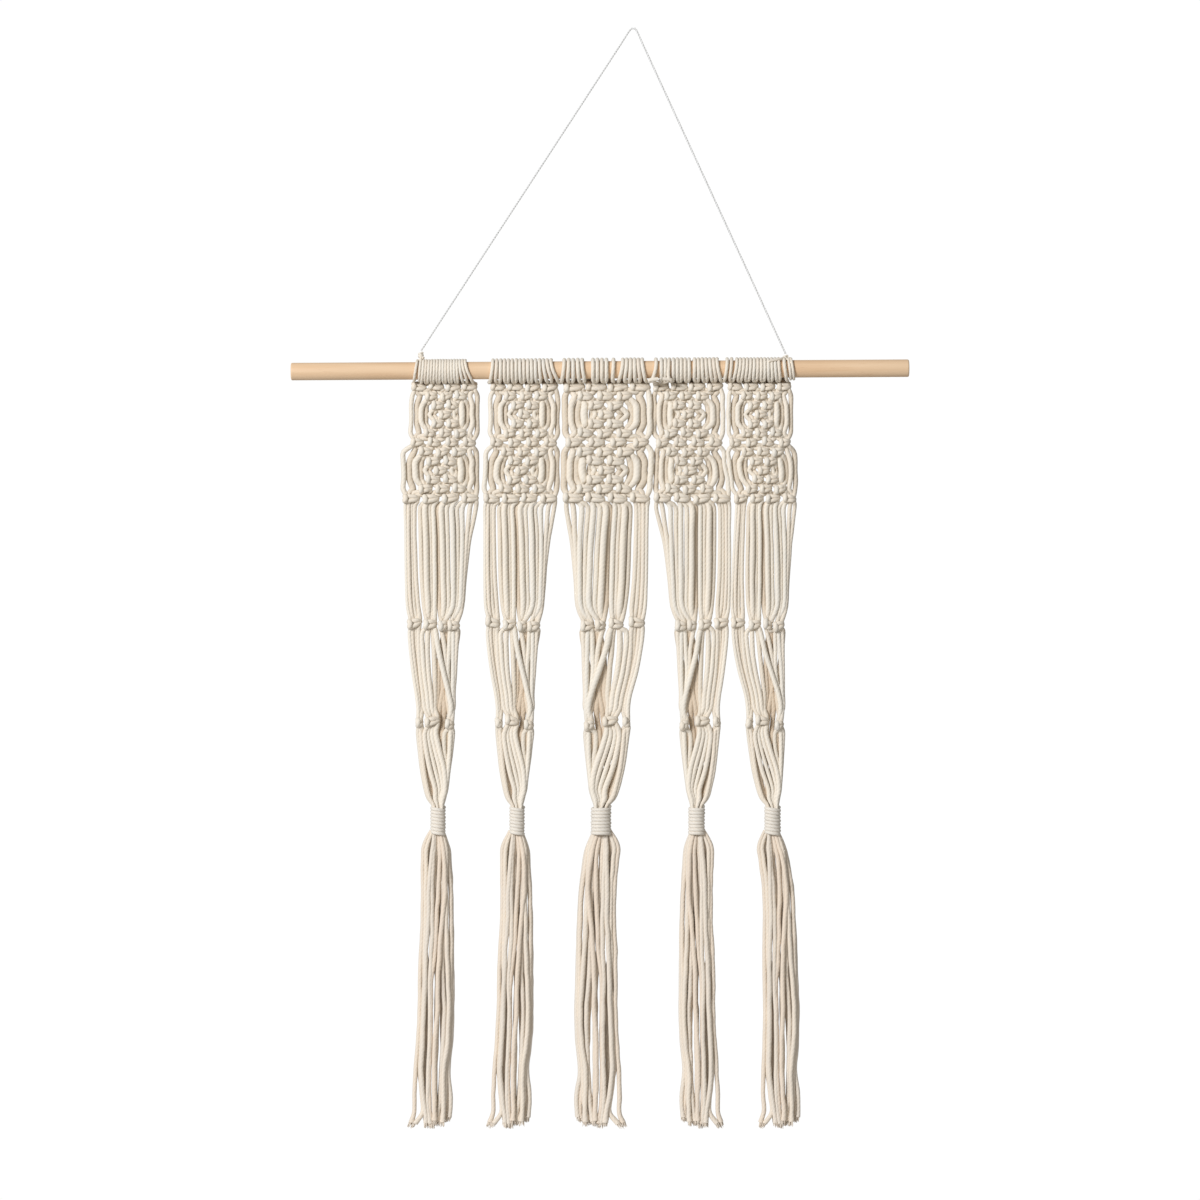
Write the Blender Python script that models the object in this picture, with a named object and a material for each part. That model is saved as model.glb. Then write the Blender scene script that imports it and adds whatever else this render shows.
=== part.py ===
# Macrame wall hanging on a wooden dowel: five knotted cotton panels, each ending in a tassel,
# and a twine hanger that goes over one nail.
# Frame: millimetres turned to metres at the end, +Z up, front towards -Y.  The origin is the
# top of the nail, where the hanger rests.  A "drop" is a height measured down from there.

import math

import bmesh
import bpy

MM = 0.001

# Driving sizes
CORD = 3.0
TWINE = 1.8
SEAT = 0.3

DOWEL_LENGTH = 500.0
DOWEL_RADIUS = 7.1
DOWEL_CENTRE = -26.7
DOWEL_DROP = 275.3
DOWEL_SLOPE = 0.0055
DOWEL_SIDES = 20
DOWEL_CHAMFER = 1.0

# Heading: cords folded over the dowel
WRAP_RADIUS = 10.9
WRAP_GROOVE = 0.9
WRAP_ANGLES = (18, 72, 126, 180, 234, 288, 342)
TUNNEL_RADIUS = 8.35

# Knotted field: rows of square knots, one more or one fewer than the row above
KNOT_COUNTS = (4, 3, 2, 1, 2, 3, 4, 3, 2, 1, 2, 3, 4)
FIELD_TOP = 287.0
KNOT_ROW = 7.52
STATIONS = 8
KNOT_CREST = 4.3
KNOT_EDGE = 2.3
KNOT_SEAM = 2.9
HALF_CORD = 1.4

# Levels below the field
FIELD_END = FIELD_TOP + KNOT_ROW * len(KNOT_COUNTS)
BAR_TOP = 475.3
BAR_MIDDLE = 480.0
BAR_END = 484.5
BAR_TILT = 3.4
TRIO_TOP = 555.4
TRIO_MIDDLE = 560.3
TRIO_END = 565.2
GATHER_TOP = 622.5
GATHER_END = 627.0
SLEEVE_TOP = GATHER_END + SEAT
SLEEVE_END = 653.8
CORE_END = 640.2
BELL_MIDDLE = 657.5
BELL_END = 663.0
TASSEL_TIP = 888.7

LONG_STRANDS = 16
CROSSING_STRANDS = 12

# Neck sleeve: one cord wound round the gathered strands
SLEEVE_WALL = 2.6
SLEEVE_TURNS = 8
SLEEVE_GROOVE = 0.8
SLEEVE_SIDES = 8
CORE_PLAY = 0.35

# Tassel strands stand in two rings under the bell
OUTER_STRANDS = 11
INNER_STRANDS = 5
TASSEL_DEPTH = 0.8
TASSEL_CORD = 1.85
ROOT_CORD = 1.6
ROOT_INSET = 2.0

# Where each panel's two edges run: the plain edge, then the edge that tapers, at each level.
# Panels 3 and 4 are tied the other way round, so their plain edge is the right one.
EDGE_LEVELS = ("top", "mid", "low", "bar", "trio", "neck", "belly", "tip")
PANEL_EDGES = {
    1: ((-180.0, -125.2), (-187.3, -124.6), (-186.9, -123.9), (-182.4, -139.1),
        (-175.6, -143.6), (-164.2, -151.3), (-173.1, -145.6), (-179.0, -146.4)),
    2: ((-116.2, -59.9), (-120.1, -59.3), (-122.4, -60.7), (-119.3, -74.4),
        (-111.2, -79.7), (-100.3, -87.4), (-108.8, -81.7), (-115.2, -82.5)),
    3: ((14.8, -56.2), (16.8, -58.3), (14.4, -57.4), (9.8, -44.1),
        (-2.4, -40.5), (-17.4, -34.4), (-11.3, -43.7), (-8.9, -47.7)),
    4: ((73.8, 16.0), (75.0, 17.8), (80.8, 15.4), (77.5, 32.8),
        (70.4, 37.2), (58.4, 44.4), (66.3, 38.8), (70.4, 38.0)),
    5: ((76.3, 128.9), (76.0, 132.6), (81.8, 133.4), (79.3, 123.8),
        (91.4, 123.0), (106.0, 119.8), (102.7, 130.2), (104.2, 135.9)),
}

# Height by height, how far each edge has gone from one level's place to the next one's.
EDGE_STEPS = (
    # drop, level above, level below, share at the plain edge, share at the tapering edge
    (FIELD_TOP, "top", "mid", 0.0, 0.0),
    (325.0, "top", "mid", 0.2, 0.1),
    (337.0, "top", "mid", 0.9, 0.7),
    (345.0, "top", "mid", 1.0, 1.0),
    (FIELD_END, "mid", "low", 1.0, 1.0),
    (419.4, "low", "bar", 0.4, 0.6),
    (BAR_MIDDLE, "low", "bar", 1.0, 1.0),
    (512.0, "bar", "trio", 0.2, 0.6),
    (535.0, "bar", "trio", 0.85, 1.05),
    (TRIO_MIDDLE, "bar", "trio", 1.0, 1.0),
    (595.0, "trio", "neck", 0.3, 0.5),
    (GATHER_TOP, "trio", "neck", 0.7, 0.95),
    (GATHER_END, "trio", "neck", 1.0, 1.0),
)

# Runs of cords on the dowel: bare wood shows between two runs of one panel.
HEADINGS = (
    # panel, first x, last x, cords in the run
    (1, -174.1, -130.0, 16),
    (2, -116.9, -62.3, 16),
    (3, 9.3, -17.0, 7),
    (3, -19.8, -34.8, 4),
    (3, -39.6, -58.2, 5),
    (4, 70.8, 49.0, 8),
    (4, 47.3, 13.8, 8),
    (5, 75.2, 124.2, 16),
)

# Hanger twine, and the loops that tie it to the dowel
TIES = (
    # name, loop's first x, loop's last x, x of the knot, drop of the knot's top
    ("tie_left", -177.8, -174.9, -171.6, 261.0),
    ("tie_right", 126.5, 129.8, 124.2, 263.4),
)
NAIL_RADIUS = 2.0
TWINE_POINTS = 50
TIE_SIDES = 8

COTTON = (0.80, 0.73, 0.62)
TWINE_COLOUR = (0.74, 0.73, 0.69)
WOOD = (0.74, 0.53, 0.32)


def make_material(name, colour, roughness):
    material = bpy.data.materials.new(name)
    material.use_nodes = True
    shader = material.node_tree.nodes["Principled BSDF"]
    shader.inputs["Base Color"].default_value = (*colour, 1.0)
    shader.inputs["Roughness"].default_value = roughness
    shader.inputs["Metallic"].default_value = 0.0
    return material


def make_object(name, points, faces, material):
    mesh = bpy.data.meshes.new(name)
    mesh.from_pydata([tuple(value * MM for value in point) for point in points], [], faces)
    mesh.materials.append(material)
    piece = bpy.data.objects.new(name, mesh)
    bpy.context.collection.objects.link(piece)
    return piece


def dowel_height(x):
    return -DOWEL_DROP + DOWEL_SLOPE * (x - DOWEL_CENTRE)


def edges_at(panel, drop):
    # The plain and the tapering edge of a panel at a height.
    levels = dict(zip(EDGE_LEVELS, PANEL_EDGES[panel]))
    places = []
    for height, above, below, plain, taper in EDGE_STEPS:
        upper = levels[above]
        lower = levels[below]
        places.append((height,
                       upper[0] + (lower[0] - upper[0]) * plain,
                       upper[1] + (lower[1] - upper[1]) * taper))
    if drop <= places[0][0]:
        return places[0][1:]
    for first, second in zip(places, places[1:]):
        if drop <= second[0]:
            share = (drop - first[0]) / (second[0] - first[0])
            return (first[1] + (second[1] - first[1]) * share,
                    first[2] + (second[2] - first[2]) * share)
    return places[-1][1:]


# A panel is a net of faces with a front and a back point for each of its nodes.  Closing it
# walls every free edge, so all strands and knots of a panel are one solid.

def new_net(panel):
    return {"panel": panel, "share": [], "front": [], "back": [], "faces": [],
            "joined": set(), "extra": [], "skin": []}


def add_node(net, share, drop, front, back):
    plain, taper = edges_at(net["panel"], drop)
    x = plain + (taper - plain) * share
    return add_placed_node(net, share, x, -drop, front, back)


def add_placed_node(net, share, x, z, front, back):
    net["share"].append(share)
    net["front"].append((x, -front, z))
    net["back"].append((x, back, z))
    return len(net["share"]) - 1


def bridge(net, upper, lower):
    # Faces between two rows of nodes that may differ in number.
    share = net["share"]
    if len(upper) == len(lower):
        for index in range(len(upper) - 1):
            net["faces"].append((lower[index], lower[index + 1], upper[index + 1], upper[index]))
        return
    high = 0
    low = 0
    while high < len(upper) - 1 or low < len(lower) - 1:
        next_high = share[upper[high + 1]] if high < len(upper) - 1 else math.inf
        next_low = share[lower[low + 1]] if low < len(lower) - 1 else math.inf
        if next_high <= next_low:
            net["faces"].append((upper[high], lower[low], upper[high + 1]))
            high += 1
        else:
            net["faces"].append((upper[high], lower[low], lower[low + 1]))
            low += 1


def strand(net, roots, tips, rows):
    # One free strand from two root nodes to two tip nodes.  Each row gives drop, the strand's
    # middle as a share of the panel's width, and the strand's width.
    above = roots
    for drop, middle, width, half_depth in rows:
        plain, taper = edges_at(net["panel"], drop)
        half = 0.5 * width / abs(taper - plain)
        here = [add_node(net, middle + side * half, drop, half_depth, half_depth)
                for side in (-1, 1)]
        bridge(net, above, here)
        above = here
    bridge(net, above, tips)


def strand_width(panel, drop, pitch):
    plain, taper = edges_at(panel, drop)
    return min(0.93 * CORD, 0.82 * pitch * abs(taper - plain))


def heading_nodes(net):
    # The row of nodes just under the dowel, two for each cord and one more for each run.
    panel = net["panel"]
    runs = [run[1:] for run in HEADINGS if run[0] == panel]
    first = runs[0][0]
    last = runs[-1][1]
    groups = []
    for start, end, cords in runs:
        group = []
        for index in range(2 * cords + 1):
            sleeve_x = start + (end - start) * index / (2 * cords)
            share = (sleeve_x - first) / (last - first)
            crest = index % 2
            angle = math.radians(WRAP_ANGLES[0])
            radius = WRAP_RADIUS - (0.0 if crest else WRAP_GROOVE)
            z = dowel_height(sleeve_x) - radius * math.cos(angle)
            depth = radius * math.sin(angle)
            node = add_placed_node(net, share, sleeve_x, z, depth, depth)
            group.append((node, sleeve_x, crest))
        groups.append(group)
    return groups


def around_dowel(x, radius, degrees):
    # Angle 0 points down, 90 points to the front.
    angle = math.radians(degrees)
    return (x, -radius * math.sin(angle), dowel_height(x) - radius * math.cos(angle))


def add_extra(net, point):
    net["extra"].append(point)
    return ("extra", len(net["extra"]) - 1)


def wrap_heading(net, group):
    # Outer rows go up the front, over the dowel and down the back of one run of cords.
    nodes = [node for node, x, crest in group]
    rows = [[("front", node) for node in nodes]]
    for degrees in WRAP_ANGLES[1:-1]:
        row = []
        for node, x, crest in group:
            radius = WRAP_RADIUS - (0.0 if crest else WRAP_GROOVE)
            row.append(add_extra(net, around_dowel(x, radius, degrees)))
        rows.append(row)
    rows.append([("back", node) for node in nodes])
    for lower, upper in zip(rows, rows[1:]):
        for index in range(len(nodes) - 1):
            net["skin"].append((lower[index], lower[index + 1], upper[index + 1], upper[index]))
    for first, second in zip(nodes, nodes[1:]):
        net["joined"].add(frozenset((first, second)))
    rings = []
    for node, x, crest in (group[0], group[-1]):
        rings.append([add_extra(net, around_dowel(x, TUNNEL_RADIUS, degrees))
                      for degrees in WRAP_ANGLES])
    count = len(WRAP_ANGLES)
    for low in range(count):
        high = (low + 1) % count
        start, end = rings
        net["skin"].append((start[high], end[high], end[low], start[low]))
        net["skin"].append((rows[low][0], rows[high][0], start[high], start[low]))
        net["skin"].append((rows[high][-1], rows[low][-1], end[low], end[high]))


def row_span(count):
    return STATIONS // 2 - count, STATIONS // 2 + count


def seam_stations(boundary):
    # Stations on the seam above a knot row; the outer pairs split where their strands go free.
    spans = [row_span(KNOT_COUNTS[row]) for row in (boundary - 1, boundary)
             if 0 <= row < len(KNOT_COUNTS)]
    first = min(span[0] for span in spans)
    last = max(span[1] for span in spans)
    if boundary == len(KNOT_COUNTS):
        return [index / 2 for index in range(2 * STATIONS + 1)]
    stations = [float(index) for index in range(first, last + 1)]
    if len({span for span in spans}) == 2 and first == 0:
        stations += [0.5, STATIONS - 0.5]
    return sorted(stations)


def knot_field(net, top):
    # Thirteen rows of square knots, and the strands that run free round the two waists.
    rows = len(KNOT_COUNTS)
    seams = {0: {net["share"][node] * STATIONS: node for node in top}}
    for boundary in range(1, rows + 1):
        drop = FIELD_TOP + KNOT_ROW * boundary
        seams[boundary] = {station: add_node(net, station / STATIONS, drop, KNOT_SEAM, KNOT_SEAM)
                           for station in seam_stations(boundary)}
    for row, count in enumerate(KNOT_COUNTS):
        first, last = row_span(count)
        middle = []
        for station in range(first, last + 1):
            crest = (station - first) % 2
            depth = KNOT_CREST if crest else KNOT_EDGE
            drop = FIELD_TOP + KNOT_ROW * (row + 0.5)
            middle.append(add_node(net, station / STATIONS, drop, depth, depth - 0.3))
        above = seam_part(seams[row], first, last)
        below = seam_part(seams[row + 1], first, last)
        bridge(net, above, middle)
        bridge(net, middle, below)
    for waist in (0, 6):
        free_pairs(net, seams, waist)
    return seam_part(seams[rows], 0, STATIONS)


def seam_part(seam, first, last):
    return [seam[station] for station in sorted(seam) if first - 1e-6 <= station <= last + 1e-6]


def free_pairs(net, seams, waist):
    # Strands 1-2 and 15-16 run free past five knot rows, 3-4 and 13-14 past three, and
    # 5-6 and 11-12 past one.
    for pair in range(3):
        start = waist + 1 + pair
        end = waist + 6 - pair
        drops = [FIELD_TOP + KNOT_ROW * (start + (end - start) * step / (4 - pair))
                 for step in range(1, 4 - pair)]
        bow = 0.02 * pair
        for side in (-1, 1):
            edge = 0 if side < 0 else STATIONS
            cells = ((0.0, 0.5), (0.5, 1.0)) if pair == 0 else ((0.0, 1.0),)
            for low, high in cells:
                ends = sorted((edge - side * (pair + low), edge - side * (pair + high)))
                roots = [seams[start][ends[0]], seams[start][ends[1]]]
                tips = [seams[end][ends[0]], seams[end][ends[1]]]
                pitch = (high - low) / STATIONS
                middle = (ends[0] + ends[1]) / 2 / STATIONS + side * (bow + 0.004)
                rows = []
                for drop in drops:
                    plain, taper = edges_at(net["panel"], drop)
                    cords = 2 * (high - low)
                    width = min(cords * CORD, 0.84 * pitch * abs(taper - plain))
                    rows.append((drop, middle, width, HALF_CORD))
                strand(net, roots, tips, rows)


def tilt(net, nodes):
    # The tapering side of the bar hangs a little lower.
    for node in nodes:
        shift = BAR_TILT * (net["share"][node] - 0.5)
        for side in ("front", "back"):
            x, y, z = net[side][node]
            net[side][node] = (x, y, z - shift)


def knot_bar(net, top, middle_drop, end_drop, knots, ends):
    # A row of square knots across the panel, between two rows of strands.
    middle = []
    for index in range(2 * knots + 1):
        depth = KNOT_CREST if index % 2 else KNOT_SEAM
        middle.append(add_node(net, index / (2 * knots), middle_drop, depth, depth - 0.5))
    below = [add_node(net, index / ends, end_drop, KNOT_EDGE, KNOT_EDGE)
             for index in range(ends + 1)]
    bridge(net, top, middle)
    bridge(net, middle, below)
    return below, top + middle + below


def even_row(net, count, drop, depth):
    return [add_node(net, index / count, drop, depth, depth) for index in range(count + 1)]


def long_strands(net, roots, tips):
    drop = 421.0
    for index in range(LONG_STRANDS):
        pitch = 1 / LONG_STRANDS
        width = strand_width(net["panel"], drop, pitch)
        rows = [(drop, (index + 0.5) * pitch, width, HALF_CORD)]
        strand(net, roots[index:index + 2], tips[index:index + 2], rows)


def crossing_strands(net, roots, tips):
    # Five strands keep to the plain side and seven to the other, with an open slot between.
    drop = 516.0
    split = 5
    for index in range(CROSSING_STRANDS):
        if index < split:
            pitch = 0.43 / split
            middle = (index + 0.5) * pitch
        else:
            pitch = 0.44 / (CROSSING_STRANDS - split)
            middle = 0.56 + (index - split + 0.5) * pitch
        width = strand_width(net["panel"], drop, pitch)
        rows = [(drop, middle, width, HALF_CORD)]
        strand(net, roots[index:index + 2], tips[index:index + 2], rows)


def gathering_strands(net, roots, tips):
    drop = 595.0
    for index in range(CROSSING_STRANDS):
        pitch = 1 / CROSSING_STRANDS
        width = strand_width(net["panel"], drop, pitch)
        rows = [(drop, (index + 0.5) * pitch, width, HALF_CORD)]
        strand(net, roots[index:index + 2], tips[index:index + 2], rows)


def neck_sizes(panel):
    plain, taper = PANEL_EDGES[panel][EDGE_LEVELS.index("neck")]
    outer = abs(taper - plain) / 2
    inner = outer - SLEEVE_WALL
    return (plain + taper) / 2, outer, inner, inner - CORE_PLAY


def gather(net):
    # The strands close into a round core that fills the upper half of the neck sleeve.
    panel = net["panel"]
    centre, outer, inner, core = neck_sizes(panel)
    plain, taper = edges_at(panel, GATHER_TOP)
    direction = math.copysign(1.0, taper - plain)
    top = []
    for index in range(CROSSING_STRANDS + 1):
        share = index / CROSSING_STRANDS
        depth = HALF_CORD + core * math.sin(math.pi * share)
        top.append(add_node(net, share, GATHER_TOP, depth, depth))
    above = top
    for drop in (GATHER_END, CORE_END):
        ring = []
        for index in range(4):
            angle = math.radians(22.5 + 45 * index)
            x = centre - direction * core * math.cos(angle)
            depth = core * math.sin(angle)
            ring.append(add_placed_node(net, index / 3, x, -drop, depth, depth))
        bridge(net, above, ring)
        above = ring
    return top


def close_net(net):
    # Number the points, wall the free edges and return plain points and faces.
    count = len(net["share"])
    points = net["front"] + net["back"] + net["extra"]
    start = {"front": 0, "back": count, "extra": 2 * count}
    faces = []
    for face in net["faces"]:
        faces.append(face)
        faces.append(tuple(count + node for node in reversed(face)))
    for face in net["skin"]:
        faces.append(tuple(start[kind] + node for kind, node in face))
    directed = set()
    for face in net["faces"]:
        directed.update(zip(face, face[1:] + face[:1]))
    for first, second in sorted(directed):
        if (second, first) in directed or frozenset((first, second)) in net["joined"]:
            continue
        faces.append((second, first, count + first, count + second))
    plain, taper = PANEL_EDGES[net["panel"]][0]
    if plain > taper:
        faces = [tuple(reversed(face)) for face in faces]
    return points, faces


def make_panel(panel, material):
    net = new_net(panel)
    groups = heading_nodes(net)
    for group in groups:
        wrap_heading(net, group)
    top = [node for group in groups for node, x, crest in group]
    field_end = knot_field(net, top)
    bar_top = even_row(net, LONG_STRANDS, BAR_TOP, KNOT_EDGE)
    long_strands(net, field_end, bar_top)
    bar_end, bar = knot_bar(net, bar_top, BAR_MIDDLE, BAR_END, 4, CROSSING_STRANDS)
    tilt(net, bar)
    trio_top = even_row(net, CROSSING_STRANDS, TRIO_TOP, KNOT_EDGE)
    crossing_strands(net, bar_end, trio_top)
    trio_end, trio = knot_bar(net, trio_top, TRIO_MIDDLE, TRIO_END, 3, CROSSING_STRANDS)
    gather_top = gather(net)
    gathering_strands(net, trio_end, gather_top)
    points, faces = close_net(net)
    return make_object(f"panel_{panel}", points, faces, material)


def turned(profile, centre, sides, depth=1.0):
    # A closed profile of (radius, drop), down its outer side and up its inner one, turned
    # about an upright axis.
    points = []
    faces = []
    for radius, drop in profile:
        for side in range(sides):
            angle = math.radians(360 * (side + 0.5) / sides)
            points.append((centre + radius * math.cos(angle),
                           depth * radius * math.sin(angle),
                           -drop))
    rings = len(profile)
    for ring in range(rings):
        lower = (ring + 1) % rings
        for side in range(sides):
            after = (side + 1) % sides
            faces.append((ring * sides + side, lower * sides + side,
                          lower * sides + after, ring * sides + after))
    return points, faces


def make_sleeve(panel, material):
    centre, outer, inner, core = neck_sizes(panel)
    profile = []
    for step in range(2 * SLEEVE_TURNS + 1):
        drop = SLEEVE_TOP + (SLEEVE_END - SLEEVE_TOP) * step / (2 * SLEEVE_TURNS)
        profile.append((outer - (0.0 if step % 2 else SLEEVE_GROOVE), drop))
    profile += [(inner, SLEEVE_END), (inner, SLEEVE_TOP)]
    points, faces = turned(profile, centre, SLEEVE_SIDES)
    return make_object(f"neck_wrap_{panel}", points, faces, material)


def tassel_place(panel, drop):
    # Middle and half width of a tassel at a height.
    levels = dict(zip(EDGE_LEVELS, PANEL_EDGES[panel]))
    centre, outer, inner, core = neck_sizes(panel)
    belly = levels["belly"]
    tip = levels["tip"]
    half_belly = abs(belly[1] - belly[0]) / 2
    half_tip = abs(tip[1] - tip[0]) / 2
    places = (
        (SLEEVE_END, centre, outer),
        (BELL_END, centre, 0.88 * half_belly),
        (690.0, (centre + sum(belly) / 2) / 2, 0.97 * half_belly),
        (745.0, sum(belly) / 2, half_belly),
        (878.0, sum(tip) / 2, half_tip),
        (TASSEL_TIP + 20, sum(tip) / 2, half_tip),
    )
    for first, second in zip(places, places[1:]):
        if drop <= second[0]:
            share = (drop - first[0]) / (second[0] - first[0])
            return (first[1] + (second[1] - first[1]) * share,
                    first[2] + (second[2] - first[2]) * share)
    return places[-1][1:]


def tassel_strands(panel):
    # Three-sided strands in two rings, each with its own slow sway and its own end.
    points = []
    faces = []
    rings = ((OUTER_STRANDS, 0.80, 0.0), (INNER_STRANDS, 0.36, 0.5))
    number = 0
    for count, reach, turn in rings:
        for index in range(count):
            number += 1
            angle = 2 * math.pi * (index + turn) / count + 0.12 * panel
            end = TASSEL_TIP - 5.0 * (0.5 + 0.5 * math.sin(2.4 * number + panel))
            start = len(points)
            drops = (BELL_END - ROOT_INSET, 690.0, 745.0, 815.0, end)
            for step, drop in enumerate(drops):
                middle, half = tassel_place(panel, drop)
                sway = 0.0 if step == 0 else 0.7 * math.sin(1.7 * number + 1.9 * step)
                cord = TASSEL_CORD if step else ROOT_CORD
                room = half - 1.2 * cord if step else 0.82 * half - cord
                x = middle + reach / 0.80 * room * math.cos(angle) + sway
                y = reach / 0.80 * room * TASSEL_DEPTH * math.sin(angle)
                for corner in range(3):
                    facing = angle + 2 * math.pi * corner / 3
                    points.append((x + cord * math.cos(facing),
                                   y + cord * math.sin(facing),
                                   -drop))
            for step in range(len(drops) - 1):
                high = start + 3 * step
                low = high + 3
                for corner in range(3):
                    after = (corner + 1) % 3
                    faces.append((high + corner, low + corner, low + after, high + after))
            faces.append((start, start + 1, start + 2))
            last = start + 3 * (len(drops) - 1)
            faces.append((last + 2, last + 1, last))
    return points, faces


def join_solids(name, first, second):
    # Union of two closed objects, kept under the first one's name.
    cut = first.modifiers.new("join", "BOOLEAN")
    cut.operation = "UNION"
    cut.solver = "EXACT"
    cut.object = second
    evaluated = first.evaluated_get(bpy.context.evaluated_depsgraph_get())
    mesh = bpy.data.meshes.new_from_object(evaluated)
    first.modifiers.clear()
    first.data = mesh
    first.name = name
    bpy.data.objects.remove(second)
    return first


def make_tassel(panel, material):
    # The bell under the neck sleeve, with its stem inside the sleeve, and the strands.
    centre, outer, inner, core = neck_sizes(panel)
    middle, half = tassel_place(panel, BELL_END)
    rings = ((core, CORE_END + SEAT), (core, SLEEVE_END + SEAT),
             (0.8 * half, BELL_MIDDLE), (half, BELL_END))
    points = []
    faces = []
    for radius, drop in rings:
        depth = 1.0 if radius == core else TASSEL_DEPTH
        for side in range(SLEEVE_SIDES):
            angle = math.radians(360 * (side + 0.5) / SLEEVE_SIDES)
            points.append((centre + radius * math.cos(angle),
                           depth * radius * math.sin(angle), -drop))
    for ring in range(len(rings) - 1):
        for side in range(SLEEVE_SIDES):
            after = (side + 1) % SLEEVE_SIDES
            high = ring * SLEEVE_SIDES
            low = high + SLEEVE_SIDES
            faces.append((high + side, low + side, low + after, high + after))
    faces.append(tuple(range(SLEEVE_SIDES)))
    last = SLEEVE_SIDES * (len(rings) - 1)
    faces.append(tuple(reversed(range(last, last + SLEEVE_SIDES))))
    bell = make_object(f"tassel_{panel}", points, faces, material)
    points, faces = tassel_strands(panel)
    strands = make_object("tassel_strands", points, faces, material)
    return join_solids(f"tassel_{panel}", bell, strands)


def make_dowel(material):
    start = DOWEL_CENTRE - DOWEL_LENGTH / 2
    end = DOWEL_CENTRE + DOWEL_LENGTH / 2
    stations = ((start, DOWEL_RADIUS - DOWEL_CHAMFER), (start + DOWEL_CHAMFER, DOWEL_RADIUS),
                (end - DOWEL_CHAMFER, DOWEL_RADIUS), (end, DOWEL_RADIUS - DOWEL_CHAMFER))
    points = []
    faces = []
    for x, radius in stations:
        for side in range(DOWEL_SIDES):
            points.append(around_dowel(x, radius, 360 * side / DOWEL_SIDES))
    for ring in range(len(stations) - 1):
        for side in range(DOWEL_SIDES):
            after = (side + 1) % DOWEL_SIDES
            near = ring * DOWEL_SIDES
            far = near + DOWEL_SIDES
            faces.append((near + side, far + side, far + after, near + after))
    faces.append(tuple(range(DOWEL_SIDES)))
    last = DOWEL_SIDES * (len(stations) - 1)
    faces.append(tuple(reversed(range(last, last + DOWEL_SIDES))))
    return make_object("dowel", points, faces, material)


def make_tie(name, start, end, knot_x, knot_drop, material):
    # A loop of twine round the dowel that rises to a knot on top, leaning over the wraps.
    inner = (DOWEL_RADIUS + SEAT) / math.cos(math.pi / TIE_SIDES)
    middle = (start + end) / 2
    half = (end - start) / 2
    knot_radius = -knot_drop - dowel_height(knot_x)
    points = []
    for side in range(TIE_SIDES):
        waist = inner + 0.5 * TWINE
        outer = inner + TWINE
        crown = middle
        if side == TIE_SIDES // 2:
            waist = WRAP_RADIUS + 2 * SEAT
            outer = knot_radius
            crown = knot_x
        section = ((middle - half, inner), (middle - half, waist),
                   (crown - 0.6 * half, outer), (crown + 0.6 * half, outer),
                   (middle + half, waist), (middle + half, inner))
        points += [around_dowel(x, radius, 360 * side / TIE_SIDES) for x, radius in section]
    faces = []
    corners = len(section)
    for side in range(TIE_SIDES):
        here = corners * side
        after = corners * ((side + 1) % TIE_SIDES)
        for corner in range(corners):
            other = (corner + 1) % corners
            faces.append((here + corner, here + other, after + other, after + corner))
    return make_object(name, points, faces, material)


def hanger_route():
    # Straight up from one tie, over the nail, and down to the other.
    ends = []
    for name, start, end, knot_x, knot_drop in TIES:
        ends.append((knot_x, -knot_drop + SEAT + TWINE / 2))
    over = NAIL_RADIUS + TWINE / 2
    legs = []
    for side, (x, z) in zip((-1, 1), ends):
        legs.append(((x, z), (side * over * 0.9, -NAIL_RADIUS + over * 0.55)))
    corners = [legs[0][0], legs[0][1], (0.0, over - NAIL_RADIUS), legs[1][1], legs[1][0]]
    return corners


def make_hanger(material):
    corners = hanger_route()
    points = []
    half = (TWINE_POINTS - 3) // 2
    for index in range(half):
        share = index / (half - 1)
        points.append(tuple(a + (b - a) * share for a, b in zip(corners[0], corners[1])))
    points.append(corners[2])
    for index in range(half):
        share = index / (half - 1)
        points.append(tuple(a + (b - a) * share for a, b in zip(corners[3], corners[4])))
    curve = bpy.data.curves.new("hanger", "CURVE")
    curve.dimensions = "3D"
    spline = curve.splines.new("POLY")
    spline.points.add(len(points) - 1)
    for target, (x, z) in zip(spline.points, points):
        target.co = (x * MM, 0.0, z * MM, 1.0)
    curve.bevel_depth = TWINE / 2 * MM
    curve.bevel_resolution = 2
    curve.use_fill_caps = True
    curve.materials.append(material)
    piece = bpy.data.objects.new("hanger", curve)
    bpy.context.collection.objects.link(piece)
    return piece


def main():
    for item in list(bpy.data.objects):
        bpy.data.objects.remove(item)
    cotton = make_material("cotton_cord", COTTON, 0.9)
    twine = make_material("hanging_twine", TWINE_COLOUR, 0.85)
    wood = make_material("dowel_wood", WOOD, 0.55)
    make_dowel(wood)
    for panel in PANEL_EDGES:
        make_panel(panel, cotton)
        make_sleeve(panel, cotton)
        make_tassel(panel, cotton)
    for tie in TIES:
        make_tie(*tie, twine)
    make_hanger(twine)


main()
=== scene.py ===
import math
import random

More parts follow.
